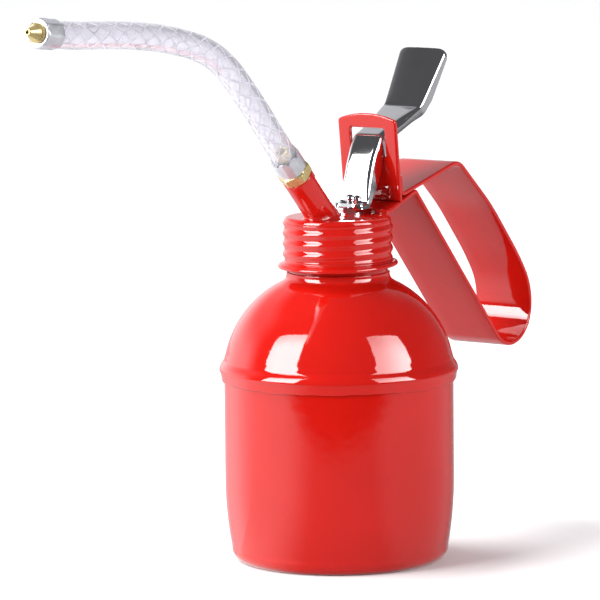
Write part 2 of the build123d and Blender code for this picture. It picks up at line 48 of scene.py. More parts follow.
# ---- dimensions shared with the CAD model, millimetres ----
SHEET = 0.7
CAN_R = 37.5
BASE_FLAT_R = 31.5
BASE_CORNER_R = 3.9
SEAM_LOW_Z = 59.3
SEAM_Z = 62.6
SEAM_BULGE = 1.6
DOME_ARC_R = 34.2
DOME_ARC_X = 3.6
DOME_ARC_Z = 60.7
COLLAR_R = 16.9
COLLAR_TOP_Z = 94.8
NECK_R = 16.2
NECK_LOW_Z = 90.6
NECK_TOP_Z = 110.4
THREAD_PITCH = 3.45
CAP_BORE_R = 16.9
CAP_ROOT_R = 17.44
CAP_CREST_R = 18.02
CAP_LIP_R = 19.5
CAP_LIP_Z = 96.0
CAP_TOP_Z = 112.8
ROD_R = 1.3
FOOT_TOP_Z = 116.4
LEVER_SHEET = 1.1
LEVER_HALF = 5.5
PADDLE_HALF = 9.4
PADDLE_ROOT_HALF = 7.8
STRIP = 1.4
STRIP_HALF = 11.0
PLATE = 1.5
PLATE_HALF = 11.3
PLATE_X = 20.6
PLATE_Z = 117.0
PLATE_LEAN = 0.115
WINDOW_HALF = 6.75
WINDOW_LOW_Z = 130.7
WINDOW_TOP_Z = 140.2
BOSS_FOOT = (-7.9, 112.8)
BOSS_R = 5.1
BOSS_LENGTH = 21.4
HEX_HALF = 4.9
HEX_TOP = 25.05
BARB_TOP = 34.0
HOSE_R = 4.25
HOSE_BORE_R = 2.75
FERRULE_R = 5.05
FERRULE_TOP = 31.0
TIP_FERRULE_R = 4.75
TIP_FERRULE_FRONT = 1.8
TIP_FERRULE_BACK = -6.2
NOZZLE_END = 6.5
DEG45 = sqrt(0.5)

# The hose's route, its control points from the fitting to the nozzle, metres.
HOSE_ROUTE = [
    (-0.02561, 0, 0.13051),
    (-0.0330, 0, 0.1379),
    (-0.0485, 0, 0.1546),
    (-0.0665, 0, 0.1706),
    (-0.0930, 0, 0.1769),
    (-0.1180, 0, 0.1795),
    (-0.1415, 0, 0.18055),
    (-0.1545, 0, 0.1822),
]


# ---- camera ----
CAM_AZIMUTH = radians(-55)
CAM_ELEVATION = radians(7.45)
CAM_ROLL = radians(-0.53)
CAM_DISTANCE = 1.5
CAM_TARGET = Vector((0, 0, 0.0853)) - 0.0125 * Vector((cos(CAM_AZIMUTH), sin(CAM_AZIMUTH), 0))
CAM_LENS = 275.8

CAM_RIGHT = Vector((cos(CAM_AZIMUTH), sin(CAM_AZIMUTH), 0))
CAM_BACK = Vector((sin(CAM_AZIMUTH) * cos(CAM_ELEVATION), -cos(CAM_AZIMUTH) * cos(CAM_ELEVATION),
                   sin(CAM_ELEVATION)))
TO_CAMERA = Vector((sin(CAM_AZIMUTH), -cos(CAM_AZIMUTH), 0))


def make_camera():
    """Long lens from the front left, a little above the can, rolled slightly."""
    up = CAM_BACK.cross(CAM_RIGHT)
    right = CAM_RIGHT * cos(CAM_ROLL) + up * sin(CAM_ROLL)
    up = up * cos(CAM_ROLL) - CAM_RIGHT * sin(CAM_ROLL)
    data = bpy.data.cameras.new("camera")
    data.sensor_width = 36
    data.lens = CAM_LENS
    data.clip_start = 0.05
    data.clip_end = 60
    camera = bpy.data.objects.new("camera", data)
    SCENE.collection.objects.link(camera)
    turn = Matrix((right, up, CAM_BACK)).transposed().to_4x4()
    camera.matrix_world = Matrix.Translation(CAM_TARGET + CAM_BACK * CAM_DISTANCE) @ turn
    SCENE.camera = camera


make_camera()


# ---- mesh helpers ----
def finish_mesh(name, bm, body, material, slot, sharp_angle=35, replaces=()):
    """A piece from a bmesh in millimetres: outward normals, sharp edges, material and body; slot is not
    used.
    """
    bmesh.ops.remove_doubles(bm, verts=bm.verts, dist=0.002)
    bmesh.ops.recalc_face_normals(bm, faces=bm.faces)
    limit = radians(sharp_angle)
    for edge in bm.edges:
        if len(edge.link_faces) == 2 and edge.calc_face_angle(0) > limit:
            edge.smooth = False
    for face in bm.faces:
        face.smooth = True
    bmesh.ops.scale(bm, vec=(MM, MM, MM), verts=bm.verts)
    mesh = bpy.data.meshes.new(name)
    bm.to_mesh(mesh)
    bm.free()
    piece = bpy.data.objects.new(name, mesh)
    SCENE.collection.objects.link(piece)
    mesh.materials.append(material)
    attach(piece, body)
    if replaces:
        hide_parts(*replaces)
    return piece


def add_skin(bm, rows, ends=True):
    """Adds a skin over closed rows of points, capped at its ends or joined up along them."""
    grid = [[bm.verts.new(p) for p in row] for row in rows]
    count = len(grid[0])
    for low, high in list(zip(grid, grid[1:])) + ([] if ends else [(grid[-1], grid[0])]):
        for i in range(count):
            j = (i + 1) % count
            bm.faces.new((low[i], low[j], high[j], high[i]))
    if ends:
        bm.faces.new(grid[0])
        bm.faces.new(grid[-1])


def skin_piece(name, rows, *about, ends=False):
    """A piece made of one skin; about is what finish_mesh is told after the mesh."""
    bm = bmesh.new()
    add_skin(bm, rows, ends)
    return finish_mesh(name, bm, *about)


def lathe_rows(profile, count, shape=None):
    """Rows of points of a turned profile of (radius, height); shape(r, z, angle) may move each."""
    rows = []
    for i in range(count):
        a = 2 * pi * i / count
        row = []
        for r, z in profile:
            if shape:
                r, z = shape(r, z, a)
            row.append((r * cos(a), r * sin(a), z))
        rows.append(row)
    return rows


def arc(p, q, r, count):
    """Points on the circle through three points, from the first to the last."""
    (ax, az), (bx, bz), (cx, cz) = p, q, r
    d = 2 * (ax * (bz - cz) + bx * (cz - az) + cx * (az - bz))
    ux = ((ax**2 + az**2) * (bz - cz) + (bx**2 + bz**2) * (cz - az) + (cx**2 + cz**2) * (az - bz)) / d
    uz = ((ax**2 + az**2) * (cx - bx) + (bx**2 + bz**2) * (ax - cx) + (cx**2 + cz**2) * (bx - ax)) / d
    radius = hypot(ax - ux, az - uz)
    start, end = atan2(az - uz, ax - ux), atan2(cz - uz, cx - ux)
    middle = atan2(bz - uz, bx - ux)
    sweep = (end - start) % (2 * pi)
    if (middle - start) % (2 * pi) > sweep:
        sweep -= 2 * pi
    steps = [start + sweep * i / count for i in range(count + 1)]
    return [(ux + radius * cos(t), uz + radius * sin(t)) for t in steps]


def smooth(points, count):
    """Points on a smooth curve through the given ones, count to each span."""
    ends = [tuple(2 * a - b for a, b in zip(points[0], points[1]))]
    ends_last = [tuple(2 * a - b for a, b in zip(points[-1], points[-2]))]
    through = ends + list(points) + ends_last
    out = []
    for a, b, c, d in zip(through, through[1:], through[2:], through[3:]):
        for i in range(count):
            t = i / count
            out.append(tuple(
                0.5 * (2 * q + (r - p) * t + (2 * p - 5 * q + 4 * r - s) * t * t
                       + (3 * q - p - 3 * r + s) * t**3)
                for p, q, r, s in zip(a, b, c, d)))
    out.append(tuple(points[-1]))
    return out


def line(p, q, count):
    """Points on a straight line, both ends included."""
    return [tuple(a + (b - a) * i / count for a, b in zip(p, q)) for i in range(count + 1)]


def join(*runs):
    """One list of points from several runs, without the points where two runs meet."""
    out = []
    for run in runs:
        for p in run:
            if not out or hypot(p[0] - out[-1][0], p[1] - out[-1][1]) > 1e-4:
                out.append(p)
    return out


def smoothstep(low, high, x):
    """0 below low, 1 above high, and a smooth change between."""
    t = min(1, max(0, (x - low) / (high - low)))
    return t * t * (3 - 2 * t)


def ripple(a, waves):
    """A smooth closed wave of an angle from (cycles, size, phase) rows."""
    return sum(size * sin(cycles * a + phase) for cycles, size, phase in waves)


def reaches(points):
    """Length along a line of 2-D points at each of them."""
    out = [0.0]
    for (ax, az), (bx, bz) in zip(points, points[1:]):
        out.append(out[-1] + hypot(bx - ax, bz - az))
    return out


def walk(reach, wants):
    """The span, and the share of it, where each of the rising lengths falls."""
    k = 0
    for want in wants:
        while k < len(reach) - 2 and reach[k + 1] < want:
            k += 1
        yield k, (want - reach[k]) / ((reach[k + 1] - reach[k]) or 1)


def between(knots, s):
    """The value at s of (place, value) knots joined by straight lines; the last value past them."""
    for (a, low), (b, high) in zip(knots, knots[1:]):
        if a <= s <= b:
            return low + (high - low) * (s - a) / (b - a)
    return knots[-1][1]


def sheet_path(corners, bends, step=1.0):
    """Points and right-hand normals along straight runs joined by arcs, in the XZ plane."""
    dirs = []
    for (x0, z0), (x1, z1) in zip(corners, corners[1:]):
        run = hypot(x1 - x0, z1 - z0)
        dirs.append(((x1 - x0) / run, (z1 - z0) / run))
    out = [(corners[0], (dirs[0][1], -dirs[0][0]))]
    for corner, radius, (ax, az), (bx, bz) in zip(corners[1:], bends, dirs, dirs[1:]):
        turn = atan2(ax * bz - az * bx, ax * bx + az * bz)
        cut = radius * tan(abs(turn) / 2)
        start = (corner[0] - ax * cut, corner[1] - az * cut)
        side = 1 if turn > 0 else -1
        centre = (start[0] - az * radius * side, start[1] + ax * radius * side)
        count = max(4, int(abs(turn) * radius / step), int(degrees(abs(turn)) / 6))
        last = out[-1][0]
        run = hypot(start[0] - last[0], start[1] - last[1])
        for i in range(1, int(run / 4) + 1):
            t = i / (int(run / 4) + 1)
            place = (last[0] + (start[0] - last[0]) * t, last[1] + (start[1] - last[1]) * t)
            out.append((place, (az, -ax)))
        for i in range(count + 1):
            t = turn * i / count
            nx, nz = az * cos(t) + ax * sin(t), -ax * cos(t) + az * sin(t)
            out.append(((centre[0] + nx * radius * side, centre[1] + nz * radius * side), (nx, nz)))
    end = corners[-1]
    last = out[-1][0]
    for i in range(1, 4):
        t = i / 3
        out.append(((last[0] + (end[0] - last[0]) * t, last[1] + (end[1] - last[1]) * t),
                    (dirs[-1][1], -dirs[-1][0])))
    return out


# ---- material helpers ----
def new_material(name, color, **sockets):
    """A Principled material with uniform sockets set by name, and its node tree's parts."""
    material = bpy.data.materials.new(name)
    material.use_nodes = True
    shader = material.node_tree.nodes["Principled BSDF"]
    shader.inputs["Base Color"].default_value = (*color, 1)
    for socket, value in sockets.items():
        shader.inputs[socket.replace("_", " ")].default_value = value
    return material, material.node_tree, shader


def node(tree, kind, **values):
    """A new node with its properties and its inputs set by name."""
    made = tree.nodes.new(kind)
    for key, value in values.items():
        if key.startswith("in_"):
            made.inputs[key[3:].replace("_", " ")].default_value = value
        else:
            setattr(made, key, value)
    return made


def coordinates(tree, scale=(1, 1, 1)):
    """Object coordinates in metres, scaled."""
    where = node(tree, "ShaderNodeTexCoord")
    mapping = node(tree, "ShaderNodeMapping")
    mapping.inputs["Scale"].default_value = scale
    tree.links.new(where.outputs["Object"], mapping.inputs["Vector"])
    return mapping.outputs["Vector"]


def noise(tree, vector, scale, detail=3.0, roughness=0.5):
    """A noise texture's value."""
    made = node(tree, "ShaderNodeTexNoise", in_Scale=scale, in_Detail=detail, in_Roughness=roughness)
    tree.links.new(vector, made.inputs["Vector"])
    return made.outputs["Fac"]


def ramp(tree, value, low, high, to_low=0.0, to_high=1.0):
    """A value remapped linearly and held between two ends."""
    made = node(tree, "ShaderNodeMapRange", in_From_Min=low, in_From_Max=high, in_To_Min=to_low,
                in_To_Max=to_high)
    tree.links.new(value, made.inputs["Value"])
    return made.outputs["Result"]


def color_mix(tree, factor, first, second):
    """Mix node's colour output of two colours, each a tuple or an output."""
    made = node(tree, "ShaderNodeMix", data_type="RGBA")
    tree.links.new(factor, made.inputs[0])
    for index, value in ((6, first), (7, second)):
        if isinstance(value, tuple):
            made.inputs[index].default_value = (*value, 1)
        else:
            tree.links.new(value, made.inputs[index])
    return made.outputs[2]


def bump(tree, shader, heights):
    """Chains bumps of (height output, distance in metres, strength) into the shader's normal."""
    normal = None
    for height, distance, strength in heights:
        made = node(tree, "ShaderNodeBump", in_Distance=distance, in_Strength=strength)
        tree.links.new(height, made.inputs["Height"])
        if normal:
            tree.links.new(normal, made.inputs["Normal"])
        normal = made.outputs["Normal"]
    tree.links.new(normal, shader.inputs["Normal"])
    return normal


def convex_edge_mask(tree, low, high):
    """1 on convex edges, 0 elsewhere."""
    geometry = node(tree, "ShaderNodeNewGeometry")
    return ramp(tree, geometry.outputs["Pointiness"], low, high)


# ---- materials ----
def make_enamel():
    """Gloss red stoving enamel, a little uneven, lighter red on convex edges."""
    material, tree, shader = new_material(
        "red_enamel", (0.42, 0.0056, 0.003), Roughness=0.42, Coat_Weight=1.0, Coat_Roughness=0.05,
        Coat_IOR=1.72, Specular_IOR_Level=0.0)
    where = coordinates(tree)
    cloud = noise(tree, where, 38, 4)
    fleck = noise(tree, where, 420, 2)
    tone = color_mix(tree, ramp(tree, cloud, 0.3, 0.7), (0.405, 0.0052, 0.0026),
                     (0.445, 0.0066, 0.0036))
    # Convex edges, found by pointiness, are given a lighter red.
    edge = convex_edge_mask(tree, 0.53, 0.60)
    toned = color_mix(tree, edge, tone, (0.48, 0.011, 0.007))
    tree.links.new(toned, shader.inputs["Base Color"])
    tree.links.new(ramp(tree, fleck, 0.2, 0.8, 0.36, 0.5), shader.inputs["Roughness"])
    peel = noise(tree, where, 330, 2, 0.4)
    sag = noise(tree, where, 70, 2, 0.4)
    normal = bump(tree, shader, [(sag, 0.00040, 0.16), (peel, 0.00012, 0.20)])
    tree.links.new(normal, shader.inputs["Coat Normal"])
    return material


def make_chrome():
    """Bright chrome plate with a faint polish grain and small pits."""
    material, tree, shader = new_material("chrome_plate", (0.80, 0.80, 0.82), Metallic=1.0,
                                          Roughness=0.06)
    where = coordinates(tree)
    cloud = noise(tree, where, 140, 4)
    tree.links.new(ramp(tree, cloud, 0.3, 0.75, 0.03, 0.11), shader.inputs["Roughness"])
    tint = color_mix(tree, ramp(tree, noise(tree, where, 60, 3), 0.3, 0.7), (0.74, 0.74, 0.77),
                     (0.84, 0.84, 0.85))
    tree.links.new(tint, shader.inputs["Base Color"])
    pits = noise(tree, where, 900, 2)
    bump(tree, shader, [(noise(tree, where, 150, 2), 0.0002, 0.06), (pits, 0.00005, 0.12)])
    return material


def make_metal(name, dark, light, roughness, grain_scale, grain, spread=0.08, metallic=1.0):
    """A worked metal: two tones, uneven roughness, a fine grain, and below 1 metallic a dull film."""
    material, tree, shader = new_material(name, light, Metallic=metallic, Roughness=roughness)
    where = coordinates(tree)
    cloud = noise(tree, where, 260, 4)
    tone = color_mix(tree, ramp(tree, cloud, 0.3, 0.7), dark, light)
    tree.links.new(tone, shader.inputs["Base Color"])
    tree.links.new(ramp(tree, cloud, 0.25, 0.75, roughness - spread, roughness + spread),
                   shader.inputs["Roughness"])
    fine = coordinates(tree, (grain_scale, grain_scale, grain_scale))
    bump(tree, shader, [(noise(tree, fine, 1.0, 3), 0.00006, grain)])
    return material


def make_clear():
    """Clear flexible plastic, faintly violet and not quite smooth."""
    material, tree, shader = new_material(
        "clear_plastic", (0.92, 0.91, 0.955), Roughness=0.10, IOR=1.42, Transmission_Weight=0.80,
        Specular_IOR_Level=0.5)
    where = coordinates(tree)
    haze = ramp(tree, noise(tree, where, 200, 3), 0.3, 0.7, 0.08, 0.20)
    tree.links.new(haze, shader.inputs["Roughness"])
    bump(tree, shader, [(noise(tree, where, 160, 2), 0.0002, 0.12)])
    return material


def make_yarn():
    """White polyester yarn of the hose's braid."""
    material, tree, shader = new_material(
        "braid_yarn", (0.75, 0.74, 0.80), Roughness=0.45, Sheen_Weight=0.2)
    where = coordinates(tree)
    fibre = noise(tree, where, 2600, 2)
    tone = color_mix(tree, fibre, (0.66, 0.65, 0.73), (0.80, 0.79, 0.86))
    tree.links.new(tone, shader.inputs["Base Color"])
    bump(tree, shader, [(fibre, 0.00004, 0.3)])
    return material


def make_rubber():
    """Oil-proof black rubber."""
    material, tree, shader = new_material("black_rubber", (0.03, 0.03, 0.03), Roughness=0.6)
    where = coordinates(tree)
    cloud = noise(tree, where, 300, 3)
    tree.links.new(color_mix(tree, cloud, (0.018, 0.018, 0.018), (0.05, 0.048, 0.045)),
                   shader.inputs["Base Color"])
    tree.links.new(ramp(tree, cloud, 0.3, 0.7, 0.5, 0.75), shader.inputs["Roughness"])
    bump(tree, shader, [(noise(tree, where, 1500, 2), 0.00005, 0.3)])
    return material


ENAMEL = make_enamel()
CHROME = make_chrome()
BRASS = make_metal("turned_brass", (0.58, 0.44, 0.18), (0.76, 0.61, 0.30), 0.27, 700, 0.18,
                   metallic=0.72)
ALUMINIUM = make_metal("crimped_aluminium", (0.64, 0.65, 0.71), (0.82, 0.83, 0.88), 0.32, 900, 0.35,
                       metallic=0.78)
ZINC = make_metal("zinc_plate", (0.52, 0.53, 0.56), (0.72, 0.73, 0.75), 0.26, 600, 0.25)
BALL = make_metal("polished_ball", (0.66, 0.66, 0.69), (0.80, 0.80, 0.82), 0.10, 500, 0.05, 0.04)
CLEAR = make_clear()
YARN = make_yarn()
RUBBER = make_rubber()

SLOT_MATERIALS = {
    "red_paint": ENAMEL,
    "chrome": CHROME,
    "brass": BRASS,
    "ferrule_aluminium": ALUMINIUM,
    "clear_hose": CLEAR,
    "gasket_rubber": RUBBER,
    "zinc_steel": ZINC,
    "ball_steel": BALL,
}
for part in frame["record"]["subparts"]:
    for holder in frame["nodes"][part["node"]].material_slots:
        holder.material = SLOT_MATERIALS[part["material_slot"]]


# ---- hose ----
def route_points():
    """Points along the hose's route, read from its NURBS spline, metres."""
    data = bpy.data.curves.new("route", "CURVE")
    data.dimensions = "3D"
    data.resolution_u = 24
    spline = data.splines.new("NURBS")
    spline.points.add(len(HOSE_ROUTE) - 1)
    for point, place in zip(spline.points, HOSE_ROUTE):
        point.co = (*place, 1)
    spline.order_u = 3
    spline.use_endpoint_u = True
    carrier = bpy.data.objects.new("route", data)
    SCENE.collection.objects.link(carrier)
    LAYER.update()
    mesh = bpy.data.meshes.new_from_object(carrier)
    points = [v.co.copy() for v in mesh.vertices]
    bpy.data.objects.remove(carrier)
    bpy.data.curves.remove(data)
    bpy.data.meshes.remove(mesh)
    return points


SIDE = Vector((0, 1, 0))


class Route:
    """The hose's centreline in millimetres, by length along it."""

    def __init__(self, points):
        self.points = [p / MM for p in points]
        self.lengths = [0.0]
        for a, b in zip(self.points, self.points[1:]):
            self.lengths.append(self.lengths[-1] + (b - a).length)
        self.length = self.lengths[-1]

    def at(self, s):
        """Point and direction at a length; straight on beyond either end."""
        if s <= 0:
            d = (self.points[1] - self.points[0]).normalized()
            return self.points[0] + d * s, d
        if s >= self.length:
            d = (self.points[-1] - self.points[-2]).normalized()
            return self.points[-1] + d * (s - self.length), d
        i = next(k for k, reach in enumerate(self.lengths) if reach > s)
        a, b = self.points[i - 1], self.points[i]
        t = (s - self.lengths[i - 1]) / (b - a).length
        before = self.points[max(0, i - 2)]
        after = self.points[min(len(self.points) - 1, i + 1)]
        d = (b - before).normalized().lerp((after - a).normalized(), t).normalized()
        return a.lerp(b, t), d

    def frame(self, s):
        """Point, direction, side and up at a length."""
        centre, d = self.at(s)
        return centre, d, SIDE, d.cross(SIDE).normalized()

    def ring(self, s, radius, count):
        """A ring of points round the line at a length."""
        centre, _, side, up = self.frame(s)
        steps = [2 * pi * i / count for i in range(count)]
        return [centre + side * (radius * cos(a)) + up * (radius * sin(a)) for a in steps]


ROUTE_METRES = route_points()
ROUTE = Route(ROUTE_METRES)
HOSE_LENGTH = ROUTE.length


def make_hose():
    """Clear tube with a real bore, its wall slightly uneven as extruded."""
    rows = []
    steps = 150
    spans = [HOSE_LENGTH * i / steps for i in range(steps + 1)]
    for s in spans:
        wobble = 0.03 * sin(0.21 * s) + 0.02 * sin(0.57 * s + 1.0)
        rows.append(ROUTE.ring(s, HOSE_R - 0.04 + wobble * 0.6, 48))
    for s in reversed(spans):
        wobble = 0.04 * sin(0.17 * s + 2.0) + 0.03 * sin(0.45 * s)
        rows.append(ROUTE.ring(s, HOSE_BORE_R + wobble, 48))
    return skin_piece("hose_tube", rows, "pump_head", CLEAR, "clear_hose", 50, ["hose"])


def make_braid():
    """Two families of flat yarns that cross in the hose's wall."""
    bm = bmesh.new()
    yarn_half, yarn_thick = 0.24, 0.09
    lead, family = 38.0, 5
    steps = 170
    for direction in (1, -1):
        for k in range(family):
            first = 2 * pi * k / family + (0.3 if direction > 0 else 0.0)
            rows = []
            for i in range(steps + 1):
                s = HOSE_LENGTH * i / steps
                angle = first + direction * 2 * pi * s / lead
                weave = 0.09 * sin(family * (first + 2 * pi * s / lead * 2))
                radius = 3.5 + direction * weave
                centre, d, side, up = ROUTE.frame(s)
                out = side * cos(angle) + up * sin(angle)
                around = up * cos(angle) - side * sin(angle)
                run = (d * lead + around * (direction * 2 * pi * radius)).normalized()
                across = run.cross(out).normalized()
                middle = centre + out * radius
                rows.append([
                    middle + across * yarn_half, middle + out * yarn_thick + across * yarn_half * 0.5,
                    middle + out * yarn_thick - across * yarn_half * 0.5, middle - across * yarn_half,
                    middle - out * yarn_thick - across * yarn_half * 0.5,
                    middle - out * yarn_thick + across * yarn_half * 0.5,
                ])
            add_skin(bm, rows)
    return finish_mesh("hose_braid", bm, "pump_head", YARN, "clear_hose", 60)


# ---- fittings on the hose ----
def axis_rows(origin, direction, outline, count, radius=None, lift=None):
    """Rows of a shape turned about a slanted axis from (radius, distance) points.

    lift(s, angle) may move a point along the axis, and radius(r, s, angle) may then change its radius.
    """
    along = Vector((direction[0], 0, direction[1]))
    start = Vector((origin[0], 0, origin[1]))
    up = along.cross(SIDE).normalized()
    rows = []
    for i in range(count):
        a = 2 * pi * i / count
        row = []
        for r, s in outline:
            s += lift(s, a) if lift else 0.0
            here = radius(r, s, a) if radius else r
            row.append(start + along * s + SIDE * (here * cos(a)) + up * (here * sin(a)))
        rows.append(row)
    return rows


SPOUT_AXIS = (BOSS_FOOT, (-DEG45, DEG45))
TIP_AT, TIP_DIRECTION = ROUTE.at(HOSE_LENGTH)
TIP_AXIS = ((TIP_AT.x, TIP_AT.z), (TIP_DIRECTION.x, TIP_DIRECTION.z))
FERRULE_STEPS = 112


def make_hex_fitting():
    """Brass hexagon with chamfered corners and the barb inside the hose."""
    apothem, low, high = HEX_HALF, BOSS_LENGTH + 0.02, HEX_TOP

    def corner(a):
        """Distance to the hexagon's side at an angle, its corners eased."""
        flat = (a + pi / 6) % (pi / 3) - pi / 6
        return min(apothem / cos(flat), 5.58)

    def shape(r, s, a):
        if r < 4.5 or s > high + 0.01:
            return r
        from_end = min(s - low, high - s)
        return min(corner(a), 4.72 + from_end * 1.8)

    outline = [(1.4, low)] + line((4.6, low), (4.9, low), 1) + line((5, low + 0.1), (5, high - 0.1), 16)
    outline += [(4.9, high), (4.6, high), (2.3, high)]
    for k in range(3):
        step = HEX_TOP + 1.6 + 2.4 * k
        outline += [(2.3, step), (2.6, step + 0.05), (2.3, step + 2.0)]
    outline += [(2.1, BARB_TOP), (1.5, BARB_TOP + 0.1), (1.4, BARB_TOP - 0.1)]
    return skin_piece("spout_hex_fitting", axis_rows(*SPOUT_AXIS, outline, 144, shape), "pump_head",
                      BRASS, "brass", 24, ["hose_fitting"])


def crimp(base, flats, depth, turn):
    """A radius rule: a round sleeve pressed to a number of flats between two jaws."""
    def rule(r, _, a):
        if r < base - 0.75:
            return r
        flat = (a + turn) % (2 * pi / flats) - pi / flats
        pressed = (base - depth) / cos(flat)
        return min(r, pressed + 0.02)
    return rule


def make_base_ferrule():
    """Aluminium ferrule crimped in flats, its upper edge left in petals."""
    low, high = HEX_TOP + 0.05, FERRULE_TOP
    petals, petal_length = 7, 2.2

    def petal(s, a):
        if s <= high - petal_length:
            return 0.0
        wave = abs(sin(petals * (a + 0.35) / 2)) ** 0.6
        return (s - (high - petal_length)) / petal_length * (1.9 * wave - 1.0)

    flats = crimp(FERRULE_R, 12, 0.30, 0.2)
    outline = [(HOSE_R + 0.08, low), (FERRULE_R - 0.25, low), (FERRULE_R - 0.06, low + 0.1)]
    outline += line((FERRULE_R, low + 0.35), (FERRULE_R, low + 1.1), 2)
    outline += smooth([(FERRULE_R, low + 1.1), (FERRULE_R - 0.10, low + 1.8),
                       (FERRULE_R - 0.10, high - 1.6), (FERRULE_R + 0.02, high - 0.9),
                       (FERRULE_R + 0.06, high - 0.2)], 4)[1:]
    outline += [(FERRULE_R - 0.08, high), (HOSE_R + 0.2, high)]
    outline += line((HOSE_R + 0.08, high - 0.1), (HOSE_R + 0.08, low + 0.4), 12)
    rows = axis_rows(*SPOUT_AXIS, outline, FERRULE_STEPS, flats, petal)
    return skin_piece("spout_base_ferrule", rows, "pump_head", ALUMINIUM, "ferrule_aluminium", 28,
                      ["base_ferrule"])


def make_tip_ferrule():
    """Aluminium ferrule pressed to flats, closed in front round the nozzle, its back edge ragged."""
    back, front, r = TIP_FERRULE_BACK, TIP_FERRULE_FRONT, TIP_FERRULE_R
    flats = crimp(r, 8, 0.34, 0.1)
    outline = [(HOSE_R + 0.02, back), (r - 0.2, back), (r - 0.03, back + 0.15), (r, back + 0.5)]
    outline += smooth([(r, back + 0.5), (r - 0.03, back + 1.6), (r - 0.12, back + 2.4),
                       (r - 0.12, back + 3.4), (r - 0.02, back + 4.2), (r, front - 1.5)], 4)[1:]
    outline += smooth([(r, front - 1.5), (r - 0.12, front - 0.7), (r - 0.5, front - 0.1),
                       (3.95, front)], 4)[1:]
    outline += [(3.7, front - 0.05), (3.5, front - 0.45), (2.72, front - 0.45), (2.72, 0.02),
                (HOSE_R + 0.02, 0.02)]

    def ragged(s, a):
        return ripple(a, [(4, 0.16, 0.3), (7, 0.14, 2.0), (13, 0.10, 4.1)]) if s < back + 0.4 else 0.0

    rows = axis_rows(*TIP_AXIS, outline, FERRULE_STEPS, flats, ragged)
    return skin_piece("spout_tip_ferrule", rows, "pump_head", ALUMINIUM, "ferrule_aluminium", 28,
                      ["tip_ferrule"])


def make_nozzle():
    """Turned brass nozzle with a barb, a collar, a cone and its outlet hole."""
    front, end = TIP_FERRULE_FRONT - 0.4, NOZZLE_END
    outline = [(1.3, -6.0), (2.1, -6.0), (2.2, -5.9), (2.6, -4.3), (2.3, -4.25), (2.3, -4.0),
               (2.6, -2.2), (2.3, -2.15), (2.3, 0.0), (2.7, 0.04), (2.7, front), (2.95, front),
               (3.1, front + 0.15), (3.1, front + 0.95), (2.98, front + 1.12)]
    outline += smooth([(2.98, front + 1.12), (2.6, front + 1.5), (1.9, front + 2.9), (1.35, end - 0.75),
                       (1.2, end - 0.3), (1.02, end - 0.04), (0.86, end)], 5)[1:]
    outline += [(0.68, end - 0.02), (0.6, end - 0.14), (0.6, end - 2.3), (1.3, end - 2.7)]
    return skin_piece("spout_nozzle", axis_rows(*TIP_AXIS, outline, 96), "pump_head", BRASS, "brass",
                      24, ["nozzle_tip"])


hose_tube = make_hose()
hose_braid = make_braid()
make_hex_fitting()
base_ferrule = make_base_ferrule()
tip_ferrule = make_tip_ferrule()
nozzle = make_nozzle()
tuple(ROUTE_METRES[0])
[tuple(p) for p in ROUTE_METRES]


# ---- can ----
def can_profile(inset, count):
    """The can's side from the base's flat to the seam, moved in by inset."""
    flat, corner = BASE_FLAT_R, BASE_CORNER_R - inset
    low = inset
    middle = (35.5 - inset, 4.6)
    r = CAN_R - inset
    return join(
        arc((flat, low), (flat + corner * 0.72, low + corner * 0.3), middle, count),
        arc(middle, (r - 0.75, 13.0), (r, 27.0), count),
        line((r, 27.0), (r, SEAM_Z - 0.4), count),
    )


def make_cup():
    """Drawn can: base with a shallow pressed ring, bent corner, wall and flange."""
    base = join(
        line((0, 0), (20.0, 0), 3),
        smooth([(20.0, 0), (21.0, 0.12), (22.2, 0.4), (23.4, 0.12), (24.4, 0)], 4),
        line((24.4, 0), (BASE_FLAT_R, 0), 3),
    )
    outer = can_profile(0, 14)
    rim = [(CAN_R + 0.8, SEAM_Z - 0.4), (CAN_R + 0.8, SEAM_Z + 0.3), (CAN_R - SHEET, SEAM_Z + 0.3)]
    inner = list(reversed(can_profile(SHEET, 8)))
    profile = join(base, outer, rim, inner, [(0, SHEET)])
    return skin_piece("can_cup", lathe_rows(profile, 160), "reservoir", ENAMEL, "red_paint", 40,
                      ["reservoir_cup"])


def dome_z(r, inset=0.0):
    """Height of the dome's profile at a radius."""
    return DOME_ARC_Z + sqrt((DOME_ARC_R - inset) ** 2 - (r - DOME_ARC_X) ** 2)


def dome_r(z, inset=0.0):
    """Radius of the dome's profile at a height."""
    return DOME_ARC_X + sqrt((DOME_ARC_R - inset) ** 2 - (z - DOME_ARC_Z) ** 2)


SEAM_WAVES = [(5, 0.08, 0.4), (9, 0.08, 2.1), (14, 0.06, 4.0), (23, 0.06, 1.2), (37, 0.04, 3.3)]


